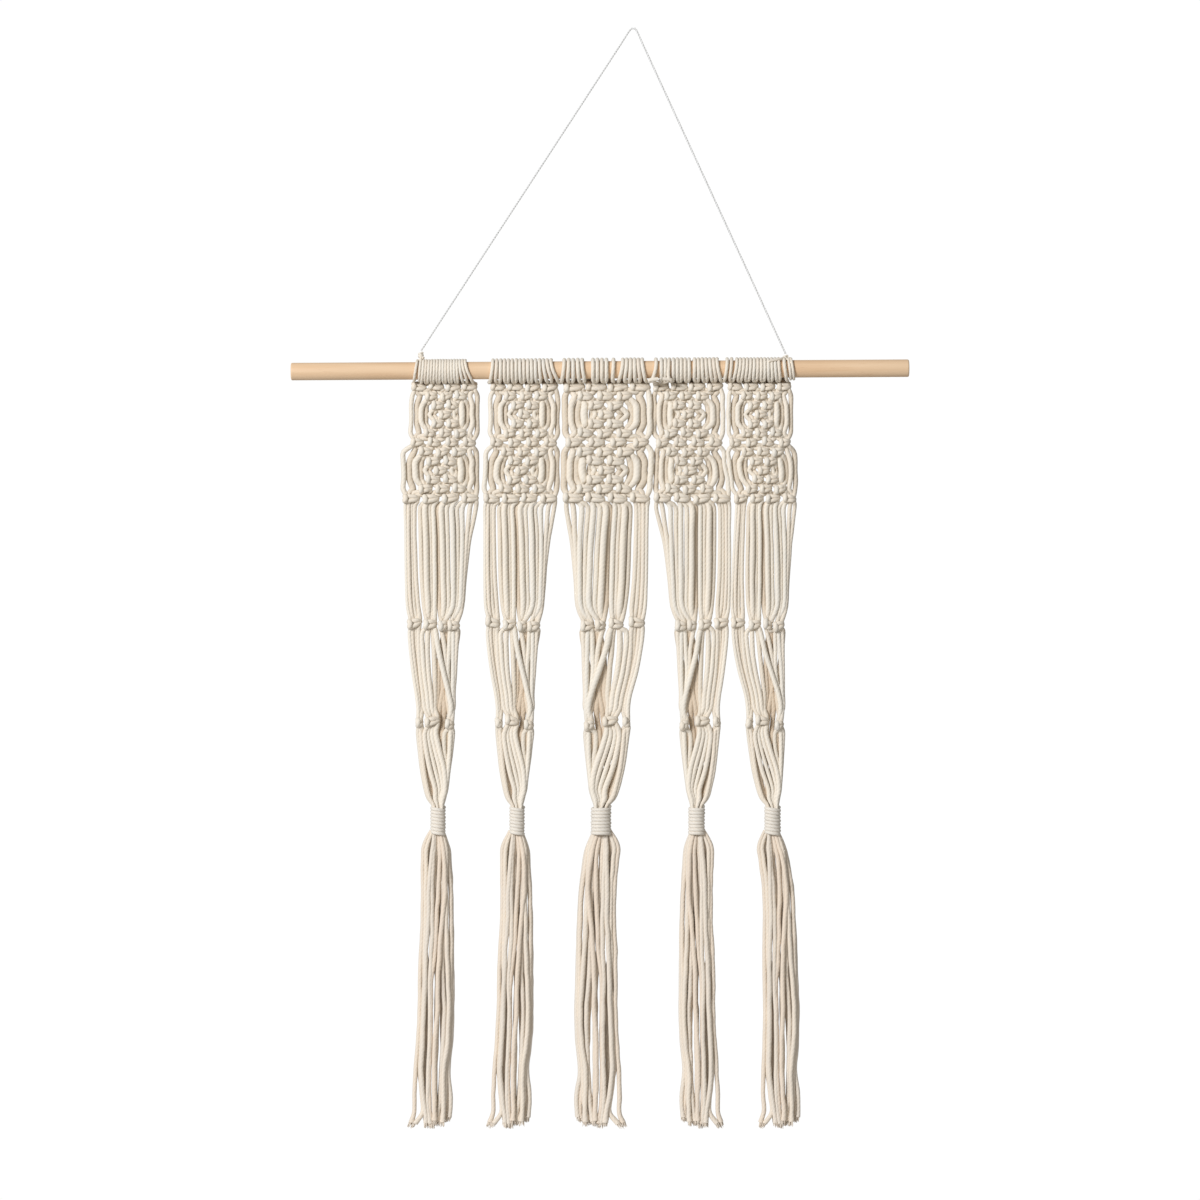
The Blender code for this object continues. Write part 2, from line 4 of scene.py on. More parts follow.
import bpy
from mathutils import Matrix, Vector


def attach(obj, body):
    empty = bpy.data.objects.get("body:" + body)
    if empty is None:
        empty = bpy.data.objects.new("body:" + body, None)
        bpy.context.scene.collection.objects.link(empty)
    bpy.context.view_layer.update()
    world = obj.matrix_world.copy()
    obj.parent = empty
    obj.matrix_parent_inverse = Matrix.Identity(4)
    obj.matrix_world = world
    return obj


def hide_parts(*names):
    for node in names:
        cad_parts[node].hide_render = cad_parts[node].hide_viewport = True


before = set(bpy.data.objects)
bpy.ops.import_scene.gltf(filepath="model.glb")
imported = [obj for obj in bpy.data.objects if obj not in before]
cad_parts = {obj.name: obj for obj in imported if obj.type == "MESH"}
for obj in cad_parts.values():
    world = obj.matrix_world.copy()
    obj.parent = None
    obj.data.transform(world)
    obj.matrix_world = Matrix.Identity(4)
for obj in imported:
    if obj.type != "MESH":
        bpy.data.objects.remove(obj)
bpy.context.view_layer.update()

mm = 0.001
print("frame loaded with", len(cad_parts), "pieces")


# node helpers: a Wire is an output that can stand in a sum

class Wire:
    def __init__(self, bench, socket):
        self.bench = bench
        self.socket = socket

    def math(self, operation, first, second=0.0):
        return self.bench.add("ShaderNodeMath", {"operation": operation}, {0: first, 1: second})[0]

    def __add__(self, other):
        return self.math("ADD", self, other)

    def __radd__(self, other):
        return self.math("ADD", other, self)

    def __sub__(self, other):
        return self.math("SUBTRACT", self, other)

    def __rsub__(self, other):
        return self.math("SUBTRACT", other, self)

    def __mul__(self, other):
        return self.math("MULTIPLY", self, other)

    def __rmul__(self, other):
        return self.math("MULTIPLY", other, self)

    def __truediv__(self, other):
        return self.math("DIVIDE", self, other)

    def __pow__(self, other):
        return self.math("POWER", self, other)

    def __abs__(self):
        return self.math("ABSOLUTE", self)

    def sine(self):
        return self.math("SINE", self)

    def cosine(self):
        return self.math("COSINE", self)


class Bench:
    def __init__(self, tree):
        self.tree = tree
        tree.nodes.clear()

    def add(self, kind, settings=None, values=None):
        node = self.tree.nodes.new(kind)
        for name, setting in (settings or {}).items():
            if name == "stops":
                self.fillRamp(node.color_ramp, setting)
            else:
                setattr(node, name, setting)
        for key, value in (values or {}).items():
            for entry in value if isinstance(value, list) else (value,):
                if isinstance(entry, Wire):
                    self.tree.links.new(entry.socket, node.inputs[key])
                else:
                    node.inputs[key].default_value = entry
        made = {}
        for place, socket in enumerate(node.outputs):
            made[place] = Wire(self, socket)
            made.setdefault(socket.name, made[place])
        return made

    def fillRamp(self, ramp, stops):
        while len(ramp.elements) < len(stops):
            ramp.elements.new(0.5)
        for element, (place, colour) in zip(ramp.elements, stops):
            element.position = place
            element.color = colour

    def mixed(self, share, first, second):
        return self.add("ShaderNodeMix", {"data_type": "RGBA"}, {0: share, 6: first, 7: second})[2]

    def vector(self, operation, first, second):
        return self.add("ShaderNodeVectorMath", {"operation": operation}, {0: first, 1: second})[0]

    def scaled(self, vector, amount):
        return self.add("ShaderNodeVectorMath", {"operation": "SCALE"}, {0: vector, "Scale": amount})[0]

    def noise(self, place, scale, detail, roughness=0.5, distortion=0.0):
        return self.add("ShaderNodeTexNoise", None,
                        {"Vector": place, "Scale": scale, "Detail": detail, "Roughness": roughness,
                         "Distortion": distortion})["Fac"]

    def ramp(self, place, *stops):
        return self.add("ShaderNodeValToRGB", {"stops": stops}, {0: place})["Color"]

    def reading(self, name, output="Fac"):
        return self.add("ShaderNodeAttribute", {"attribute_name": name})[output]

    def surface(self, look, colour, rough, height):
        normal = self.add("ShaderNodeBump", None, {"Strength": look["bump"], "Distance": look["relief"],
                                                   "Height": height})["Normal"]
        values = {"Base Color": colour, "Roughness": rough, "Normal": normal} | look["gloss"]
        shader = self.add("ShaderNodeBsdfPrincipled", None, values)["BSDF"]
        self.add("ShaderNodeOutputMaterial", None, {"Surface": shader})


def newPaint(name):
    material = bpy.data.materials.new(name)
    material.use_nodes = True
    return material, Bench(material.node_tree)


# camera, light and floor

studio = {
    "middleX": -26.7,        # what the camera looks at, mm from the nail
    "middleZ": -461.5,
    "shownWidth": 971.0,     # mm across the whole picture
    "distance": 4000.0,
    "sensor": 36.0,
    "roomWhite": 1.02,
    "roomColour": (1.02, 0.995, 0.95),
    "keyColour": (0.98, 1.0, 1.055),
    "roomLight": 0.33,       # how much of it falls on the hanging
    "keyPower": 296.0,
    "keySize": 1.5,
    "keyPlace": (-3.1, -4.3, 1.5),
    "farthest": 50.0,
    "floorDrop": 1120.0,
    "floorRadius": 900.0,
    "floorSides": 96,
    "floorColour": (0.9, 0.9, 0.9, 1.0),
    "floorRoughness": 0.8,
}
black = (0.0, 0.0, 0.0, 1.0)
white = (1.0, 1.0, 1.0, 1.0)


def aimed(thing, place, target):
    thing.location = place
    thing.rotation_euler = (Vector(target) - Vector(place)).to_track_quat("-Z", "Y").to_euler()
    bpy.context.collection.objects.link(thing)
    return thing


def setStudio(look):
    middle = (look["middleX"] * mm, 0.0, look["middleZ"] * mm)
    lens = bpy.data.cameras.new("camera")
    lens.sensor_width = look["sensor"]
    lens.lens = look["sensor"] * look["distance"] / look["shownWidth"]
    lens.clip_end = look["farthest"]
    camera = aimed(bpy.data.objects.new("camera", lens),
                   (middle[0], -look["distance"] * mm, middle[2]), middle)
    bpy.context.scene.camera = camera
    bpy.context.scene.view_settings.view_transform = "Standard"
    lamp = bpy.data.lights.new("softKey", "AREA")
    lamp.energy = look["keyPower"]
    lamp.size = look["keySize"]
    lamp.color = look["keyColour"]
    aimed(bpy.data.objects.new("softKey", lamp), look["keyPlace"], middle)
    world = bpy.data.worlds.new("whiteRoom")
    world.use_nodes = True
    bench = Bench(world.node_tree)
    seen = bench.add("ShaderNodeLightPath")["Is Camera Ray"]
    colour = bench.mixed(seen, look["roomColour"] + (1.0,), white)
    strength = seen * (look["roomWhite"] - look["roomLight"]) + look["roomLight"]
    room = bench.add("ShaderNodeBackground", None, {"Color": colour, "Strength": strength})[0]
    bench.add("ShaderNodeOutputWorld", None, {"Surface": room})
    bpy.context.scene.world = world
    bpy.ops.mesh.primitive_circle_add(vertices=look["floorSides"], radius=look["floorRadius"] * mm,
                                      fill_type="NGON", location=(middle[0], 0.0, -look["floorDrop"] * mm))
    floor = bpy.context.object
    floor.name = "floor"
    return floor


floor = setStudio(studio)
print("studio set")


# cotton: three plies that turn round the cord, soft fibres, and each cord a little different, with painted
# shade in the ply grooves, in the knots and on the cords lying behind

cottonLook = {
    "name": "naturalCotton",
    "bright": (0.825, 0.758, 0.641, 1.0),
    "grey": (0.76, 0.718, 0.634, 1.0),
    "warm": (0.78, 0.669, 0.533, 1.0),
    "shade": (0.49, 0.37, 0.27, 1.0),
    "worked": (0.695, 0.608, 0.486, 1.0),    # painted shade in the knots and on cords lying back
    "deep": (0.65, 0.53, 0.395, 1.0),        # painted shade where a cord lies behind the other cords
    "plyTurn": 11.0,         # mm along the cord for one turn of a ply
    "plies": 3,
    "groove": 0.14,          # how dark the painted shade in the grooves between the plies is
    "sharpness": 2.5,        # and how narrow
    "fibresAround": 5.0,
    "fibresAlong": 260.0,
    "fibresApart": 37.0,     # so that no two cords have the same fibres
    "fibres": (1.0, 4.0, 0.65),              # a noise's scale, detail and roughness
    "fuzz": (2600.0, 2.0, 0.6),
    "patches": (38.0, 3.0, 0.55),
    "patchEdges": (0.38, 0.66),
    "patchShare": 0.45,
    "brightTone": 0.45,
    "soiled": 0.35,
    "clean": 0.62,
    "heights": (0.75, 0.35, 0.12),           # of the plies, fibres and fuzz, in the relief
    "bump": 0.4,
    "relief": 0.0004,
    "gloss": {"Specular IOR Level": 0.25, "Sheen Weight": 0.35, "Sheen Roughness": 0.45,
              "Sheen Tint": (1.0, 0.97, 0.92, 1.0)},
    "smoothest": 0.85,
    "roughnessRange": 0.1,
}
tasselLook = dict(cottonLook, name="tasselCotton", bright=(0.78, 0.685, 0.56, 1.0),
                  grey=(0.715, 0.645, 0.55, 1.0), warm=(0.73, 0.598, 0.467, 1.0))
neckLook = dict(cottonLook, name="neckCotton", bright=(0.775, 0.72, 0.63, 1.0),
                grey=(0.72, 0.69, 0.62, 1.0), warm=(0.745, 0.665, 0.56, 1.0))
twineLook = dict(cottonLook, name="hangingTwine", bright=(0.83, 0.83, 0.815, 1.0),
                 grey=(0.77, 0.775, 0.77, 1.0), warm=(0.79, 0.78, 0.75, 1.0), shade=(0.56, 0.56, 0.55, 1.0),
                 plyTurn=3.2, relief=0.00015, groove=0.10)


def fibrePaint(look):
    material, bench = newPaint(look["name"])
    along = bench.reading("along")
    tone = bench.reading("tone")
    worked = bench.reading("worked")       # painted shade: 1 in the knots and on shaded cords, up to 2 where a cord lies behind
    around = bench.add("ShaderNodeSeparateXYZ", None, {0: bench.reading("around", "Vector")})
    place = bench.add("ShaderNodeTexCoord")["Object"]
    angle = around["Y"].math("ARCTAN2", around["Y"], around["X"])
    turned = angle - along * (math.tau / (look["plyTurn"] * mm))
    ply = abs((turned * (look["plies"] / 2)).sine())
    lay = bench.add("ShaderNodeCombineXYZ", None,
                    {0: turned.cosine() * look["fibresAround"], 1: turned.sine() * look["fibresAround"],
                     2: along * look["fibresAlong"] + tone * look["fibresApart"]})[0]
    fibres = bench.noise(lay, *look["fibres"])
    fuzz = bench.noise(place, *look["fuzz"])
    patches = bench.noise(place, *look["patches"])
    patchy = bench.ramp(patches, (look["patchEdges"][0], black), (look["patchEdges"][1], white))
    cordTone = bench.ramp(tone, (0.0, look["grey"]), (look["brightTone"], look["bright"]),
                          (1.0, look["warm"]))
    plain = bench.mixed(look["patchShare"], cordTone, bench.mixed(patchy, look["grey"], look["bright"]))
    # painted shade: the knots and the cords lying back are painted darker, the deepest in the deep colour
    base = bench.mixed(worked - 1.0, bench.mixed(worked, plain, look["worked"]), look["deep"])
    # painted shade in the grooves between the plies, plus a random darkening by the fibres
    grooveShadeAndFibreTone = (1.0 - ply) ** look["sharpness"] * look["groove"] + (look["clean"] - fibres) * look["soiled"]
    colour = bench.mixed(bench.add("ShaderNodeClamp", None, {0: grooveShadeAndFibreTone})[0], base, look["shade"])
    plyHeight, fibreHeight, fuzzHeight = look["heights"]
    height = ply * plyHeight + fibres * fibreHeight + fuzz * fuzzHeight
    bench.surface(look, colour, fibres * look["roughnessRange"] + look["smoothest"], height)
    return material


cotton = fibrePaint(cottonLook)
tasselCotton = fibrePaint(tasselLook)
neckCotton = fibrePaint(neckLook)
twine = fibrePaint(twineLook)


# wood: long streaks along the dowel and a few darker flecks

woodLook = {
    "name": "palePine",
    "light": (0.77, 0.556, 0.355, 1.0),
    "middle": (0.70, 0.465, 0.272, 1.0),
    "dark": (0.52, 0.30, 0.15, 1.0),
    "streaks": (9.0, 260.0, 260.0),          # how often a pattern changes, for each metre
    "flecks": (60.0, 900.0, 900.0),
    "broad": (14.0, 60.0, 60.0),
    "grain": (1.0, 5.0, 0.6, 0.6),           # a noise's scale, detail, roughness and distortion
    "spots": (1.0, 2.0),
    "broadShare": 0.4,
    "streakEdges": (0.3, 0.62),
    "fleckEdges": (0.66, 0.78),
    "fleckStrength": 0.45,
    "smoothest": 0.43,
    "roughnessRange": 0.15,
    "gloss": {"Specular IOR Level": 0.4},
    "bump": 0.25,
    "relief": 0.0003,
}


def woodPaint(look):
    material, bench = newPaint(look["name"])
    place = bench.add("ShaderNodeTexCoord")["Object"]
    streaks, flecks, broad = (
        bench.add("ShaderNodeMapping", None, {"Vector": place, "Scale": look[name]})["Vector"]
        for name in ("streaks", "flecks", "broad"))
    grain = bench.noise(streaks, *look["grain"])
    mingled = grain * (1.0 - look["broadShare"]) + bench.noise(broad, *look["spots"]) * look["broadShare"]
    base = bench.ramp(mingled, (look["streakEdges"][0], look["middle"]),
                      (look["streakEdges"][1], look["light"]))
    fleck = bench.ramp(bench.noise(flecks, *look["spots"]), (look["fleckEdges"][0], black),
                       (look["fleckEdges"][1], white))
    colour = bench.mixed(fleck * look["fleckStrength"], base, look["dark"])
    bench.surface(look, colour, grain * look["roughnessRange"] + look["smoothest"], grain)
    return material


wood = woodPaint(woodLook)


def floorPaint(look):
    material, bench = newPaint("paleFloor")
    shader = bench.add("ShaderNodeBsdfPrincipled", None,
                       {"Base Color": look["floorColour"], "Roughness": look["floorRoughness"]})["BSDF"]
    bench.add("ShaderNodeOutputMaterial", None, {"Surface": shader})
    return material


floor.data.materials.append(floorPaint(studio))
print("finishes mixed")


# node trees that lay a cord along each curve

def newTree(name, sizes):
    tree = bpy.data.node_groups.new(name, "GeometryNodeTree")
    tree.interface.new_socket("Geometry", in_out="INPUT", socket_type="NodeSocketGeometry")
    for label, kind in sizes.items():
        tree.interface.new_socket(label, in_out="INPUT", socket_type="NodeSocket" + kind)
    tree.interface.new_socket("Geometry", in_out="OUTPUT", socket_type="NodeSocketGeometry")
    return tree, Bench(tree)


def stored(bench, geometry, name, value, kind="FLOAT", domain="POINT"):
    return bench.add("GeometryNodeStoreNamedAttribute", {"data_type": kind, "domain": domain},
                     {"Geometry": geometry, "Name": name, "Value": value})["Geometry"]


def skinned(bench, curve, entry):
    # the round skin of a cord, and what its finish reads
    length = bench.add("GeometryNodeSplineParameter")["Length"]
    marked = stored(bench, curve, "along", length)
    ring = bench.add("GeometryNodeCurvePrimitiveCircle", None,
                     {"Resolution": entry["Sides"], "Radius": entry["Cord diameter"] * 0.5})["Curve"]
    where = bench.add("GeometryNodeInputPosition")["Position"]
    outward = bench.vector("NORMALIZE", where, (0.0, 0.0, 0.0))
    ring = stored(bench, ring, "around", outward, "FLOAT_VECTOR")
    radius = bench.add("GeometryNodeInputRadius")["Radius"]
    return bench.add("GeometryNodeCurveToMesh", None,
                     {"Curve": marked, "Profile Curve": ring, "Scale": radius, "Fill Caps": True})["Mesh"]


def finished(bench, mesh, entry):
    smooth = bench.add("GeometryNodeSetShadeSmooth", None, {"Geometry": mesh})["Geometry"]
    real = bench.add("GeometryNodeRealizeInstances", None, {"Geometry": smooth})["Geometry"]
    painted = bench.add("GeometryNodeSetMaterial", None,
                        {"Geometry": real, "Material": entry["Finish"]})["Geometry"]
    bench.add("NodeGroupOutput", None, {0: painted})


def toned(bench, curve, entry):
    # the tilt of a point carries how much painted shade the cord gets there
    tilt = bench.add("GeometryNodeInputCurveTilt")["Tilt"]
    curve = stored(bench, curve, "worked", tilt)
    curve = bench.add("GeometryNodeSetCurveTilt", None, {"Curve": curve, "Tilt": 0.0})["Curve"]
    index = bench.add("GeometryNodeInputIndex")["Index"]
    pick = bench.add("FunctionNodeRandomValue", {"data_type": "FLOAT"},
                     {2: 0.0, 3: 1.0, "ID": index, "Seed": entry["Tone seed"]})[1]
    return stored(bench, curve, "tone", pick, "FLOAT", "CURVE")


unevenness = {"apart": 25.0, "scale": 70.0}       # between two cords, and along one


def unsteady(bench, curve, entry):
    # no cord hangs quite straight or keeps quite the same thickness
    tone = bench.add("GeometryNodeInputNamedAttribute", {"data_type": "FLOAT"}, {"Name": "tone"})["Attribute"]
    noise = bench.add("ShaderNodeTexNoise", {"noise_dimensions": "4D"},
                      {"W": tone * unevenness["apart"], "Scale": unevenness["scale"], "Detail": 1.0})
    centred = bench.vector("SUBTRACT", noise["Color"], (0.5, 0.5, 0.5))
    aside = bench.scaled(centred, entry["Waver"] * 2.0)
    moved = bench.add("GeometryNodeSetPosition", None, {"Geometry": curve, "Offset": aside})["Geometry"]
    radius = bench.add("GeometryNodeInputRadius")["Radius"]
    swelling = radius * (1.0 + (noise["Fac"] - 0.5) * entry["Swell"] * 2.0)
    return bench.add("GeometryNodeSetCurveRadius", None, {"Curve": moved, "Radius": swelling})["Curve"]


def entered(name, sizes):
    # a new tree and its curve, smoothly bent
    tree, bench = newTree(name, sizes)
    entry = bench.add("NodeGroupInput")
    curved = bench.add("GeometryNodeCurveSplineType", {"spline_type": "CATMULL_ROM"},
                       {"Curve": toned(bench, entry["Geometry"], entry)})["Curve"]
    return tree, bench, entry, curved


def cordTree():
    tree, bench, entry, curved = entered("laidCord", {
        "Cord diameter": "Float", "Sides": "Int", "Steps": "Int", "Waver": "Float", "Swell": "Float",
        "Tone seed": "Int", "Finish": "Material"})
    fine = bench.add("GeometryNodeSetSplineResolution", None,
                     {"Geometry": curved, "Resolution": entry["Steps"]})["Geometry"]
    points = bench.add("GeometryNodeResampleCurve", {"mode": "EVALUATED"}, {"Curve": fine})["Curve"]
    finished(bench, skinned(bench, unsteady(bench, points, entry), entry), entry)
    return tree


def twineTree():
    # two thin plies wound round the line of the twine
    tree, bench, entry, curved = entered("twistedTwine", {
        "Cord diameter": "Float", "Sides": "Int", "Ply step": "Float", "Ply offset": "Float",
        "Turn length": "Float", "Tone seed": "Int", "Finish": "Material"})
    line = bench.add("GeometryNodeResampleCurve", {"mode": "LENGTH"},
                     {"Curve": curved, "Length": entry["Ply step"]})["Curve"]
    tangent = bench.add("GeometryNodeInputTangent")["Tangent"]
    normal = bench.add("GeometryNodeInputNormal")["Normal"]
    across = bench.vector("CROSS_PRODUCT", tangent, normal)
    length = bench.add("GeometryNodeSplineParameter")["Length"]
    plies = []
    for start in (math.pi, 0.0):
        angle = length * math.tau / entry["Turn length"] + start
        turned = bench.vector("ADD", bench.scaled(normal, angle.cosine()), bench.scaled(across, angle.sine()))
        ply = bench.add("GeometryNodeSetPosition", None,
                        {"Geometry": line, "Offset": bench.scaled(turned, entry["Ply offset"])})["Geometry"]
        plies.append(skinned(bench, ply, entry))
    finished(bench, bench.add("GeometryNodeJoinGeometry", None, {0: plies})[0], entry)
    return tree


trees = {"cord": cordTree(), "twine": twineTree()}


def laid(name, runs, tree, sizes):
    # runs: for each cord its points (x, y, z, thickness, and how much painted shade), in mm from the nail
    curve = bpy.data.curves.new(name + "Line", "CURVE")
    curve.dimensions = "3D"
    for run in runs:
        spline = curve.splines.new("POLY")
        spline.points.add(len(run) - 1)
        for point, (x, y, z, thickness, *worked) in zip(spline.points, run):
            point.co = (x * mm, y * mm, z * mm, 1.0)
            point.radius = thickness
            point.tilt = worked[0] if worked else 0.0
    guide = bpy.data.objects.new(name + "Line", curve)
    bpy.context.collection.objects.link(guide)
    modifier = guide.modifiers.new("lay", "NODES")
    modifier.node_group = tree
    for item in tree.interface.items_tree:
        if item.item_type == "SOCKET" and item.in_out == "INPUT" and item.name in sizes:
            modifier[item.identifier] = sizes[item.name]
    ready = guide.evaluated_get(bpy.context.evaluated_depsgraph_get())
    mesh = bpy.data.meshes.new_from_object(ready)
    bpy.data.objects.remove(guide)
    piece = bpy.data.objects.new(name, mesh)
    bpy.context.collection.objects.link(piece)
    return piece


def placed(piece, slotName, *nodes):
    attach(piece, "root")
    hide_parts(*nodes)
    return piece


# the hanging twine and its two ties

hanger = {
    "twine": 1.8,
    "tieCord": 2.2,
    "gap": 0.3,
    "nailRadius": 2.0,
    "bend": (0.9, 0.55),     # where the twine meets the nail, of the bend's radius
    "legPoints": 23,         # as in the frame's hanger
    "plyDiameter": 0.92,
    "plyOffset": 0.44,
    "turnLength": 4.6,
    "step": 0.42,
    "sides": 7,
}
ties = {
    "tie_left": {"loop": (-174.4, -171.7), "under": (-177.2, -173.0), "knotX": -171.6, "knotDrop": 261.0},
    "tie_right": {"loop": (125.4, 127.6), "under": (127.6, 130.2), "knotX": 123.4, "knotDrop": 263.4},
}
dowel = {
    "length": 500.0,
    "radius": 7.1,
    "centre": -26.7,
    "drop": 275.3,
    "slope": 0.0055,
    "edge": 1.2,
    "edgeSteps": 5,
    "lengths": 12,
    "sides": 64,
}


def dowelHeight(x):
    return -dowel["drop"] + dowel["slope"] * (x - dowel["centre"])


def hangerRoute(look):
    half = look["twine"] / 2
    over = look["nailRadius"] + half
    legs = []
    for side, tie in zip((-1, 1), ties.values()):
        legs.append(((tie["knotX"], -tie["knotDrop"] + look["gap"] + half),
                     (side * over * look["bend"][0], -look["nailRadius"] + over * look["bend"][1])))
    count = look["legPoints"]
    points = []
    for start, end in (legs[0], legs[1][::-1]):
        if points:
            points.append((0.0, over - look["nailRadius"]))
        for step in range(count):
            share = step / (count - 1)
            points.append((start[0] + (end[0] - start[0]) * share, start[1] + (end[1] - start[1]) * share))
    return [(x, 0.0, z, 1.0) for x, z in points]


def twineSizes(look):
    return {"Cord diameter": look["plyDiameter"] * mm, "Sides": look["sides"], "Ply step": look["step"] * mm,
            "Ply offset": look["plyOffset"] * mm, "Turn length": look["turnLength"] * mm, "Tone seed": 3,
            "Finish": twine}


hangerLine = hangerRoute(hanger)
hangingTwine = laid("hangingTwine", [hangerLine], trees["twine"], twineSizes(hanger))
placed(hangingTwine, "hanging_twine", "hanger")

tieShape = {
    "slack": 0.15,           # round the dowel
    "starts": (60, 90),      # degrees, of the inner and the outer turn
    "end": -270,
    "step": 30,
    "drawIn": (0.55, 1.6),   # from this share of the outer turn it runs to the knot, and how fast
    "lead": ((0.0, 0.3, -0.6), (0.0, -1.2, -3.2)),       # from the knot's top: across, depth, up
    "back": ((0.6, 1.2, -4.0), (0.4, 0.6, -1.6)),
    "knotTurns": 1.75,
    "knotRadius": 1.35,
    "knotPoints": 18,
    "knotTop": -0.8,
    "knotHeight": 3.0,
    "knotWave": 0.5,
    "tails": {"tie_left": ((-0.4, -1.2, -3.2), (1.0, -1.6, -4.4), (2.4, -2.4, -4.9)),
              "tie_right": ((-1.0, -1.5, -2.4), (-4.0, -5.2, -3.2), (-8.5, -7.2, -4.2), (-13.6, -8.2, -5.2))},
}


def makeTie(name, tie, look, shape):
    # twice round the dowel, then an overhand knot under the hanging twine
    radius = dowel["radius"] + look["tieCord"] / 2 + shape["slack"]
    ends = list(zip(tie["loop"], tie["under"]))
    top = -tie["knotDrop"]
    knotX = tie["knotX"]
    outer, inner = ends if name == "tie_left" else ends[::-1]

    def fromKnot(places):
        return [(knotX + x, y, top + z, 1.0) for x, y, z in places]

    run = fromKnot(shape["lead"])
    drawFrom, drawSpeed = shape["drawIn"]
    for turn, (x, under) in enumerate((inner, outer)):
        start = shape["starts"][turn]
        for degrees in range(start, shape["end"] - 1, -shape["step"]):
            angle = math.radians(degrees)
            share = (start - degrees) / (start - shape["end"])
            here = x + (under - x) * (1.0 - math.sin(angle)) / 2
            here += (knotX - x) * max(0.0, share - drawFrom) * drawSpeed * turn
            run.append((here, -radius * math.cos(angle), dowelHeight(x) + radius * math.sin(angle), 1.0))
    run += fromKnot(shape["back"])
    knot = []
    for step in range(shape["knotPoints"] + 1):
        way = step / shape["knotPoints"]
        angle = way * math.tau * shape["knotTurns"]
        knot.append((shape["knotRadius"] * math.cos(angle), shape["knotRadius"] * math.sin(angle),
                     shape["knotTop"] - shape["knotHeight"] * way + shape["knotWave"] * math.sin(2 * angle)))
    sizes = {"Cord diameter": look["tieCord"] * mm, "Sides": 8, "Steps": 3, "Waver": 0.15 * mm, "Swell": 0.15,
             "Tone seed": 4, "Finish": cotton}
    runs = [run, fromKnot(knot), fromKnot(shape["tails"][name])]
    piece = laid(name + "Loops", runs, trees["cord"], sizes)
    return placed(piece, "hanging_twine", name)


tieLoops = [makeTie(name, tie, hanger, tieShape) for name, tie in ties.items()]
start = hangerLine[0]
start[0] * mm
start[2] * mm
[(x * mm, y * mm, z * mm) for x, y, z, thickness in hangerLine]
print("twine and ties laid")


# the dowel: a turned stick with softened ends

def makeDowel(look):
    half = look["length"] / 2
    steps = look["edgeSteps"]
    profile = []
    for step in range(steps + 1):
        angle = step / steps * math.pi / 2
        profile.append((-half + look["edge"] * (1 - math.cos(angle)),
                        look["radius"] - look["edge"] * (1 - math.sin(angle))))
    ending = [(-x, radius) for x, radius in profile[::-1]]
    middle = look["lengths"] // 2 - 1
    for along in range(-middle, middle + 1):
        profile.append((along * look["length"] / look["lengths"], look["radius"]))
    profile += ending
    points = []
    faces = []
    sides = look["sides"]
    tilt = look["slope"]
    for x, radius in profile:
        for side in range(sides):
            angle = side / sides * math.tau
            y = radius * math.cos(angle)
            z = radius * math.sin(angle)
            points.append((look["centre"] + x - z * tilt, y, -look["drop"] + x * tilt + z))
    rings = len(profile)
    for ring in range(rings - 1):
        for side in range(sides):
            following = (side + 1) % sides
            faces.append((ring * sides + side, ring * sides + following,
                          (ring + 1) * sides + following, (ring + 1) * sides + side))
    faces.append(tuple(range(sides))[::-1])
    faces.append(tuple((rings - 1) * sides + side for side in range(sides)))
    mesh = bpy.data.meshes.new("dowelStick")
    mesh.from_pydata([tuple(value * mm for value in point) for point in points], [], faces)
    mesh.materials.append(wood)
    for face in mesh.polygons:
        face.use_smooth = len(face.vertices) == 4
    mesh.update()
    piece = bpy.data.objects.new("dowelStick", mesh)
    bpy.context.collection.objects.link(piece)
    return placed(piece, "dowel_wood", "dowel")


makeDowel(dowel)
print("dowel turned")


# where each panel's plain edge and tapering edge run

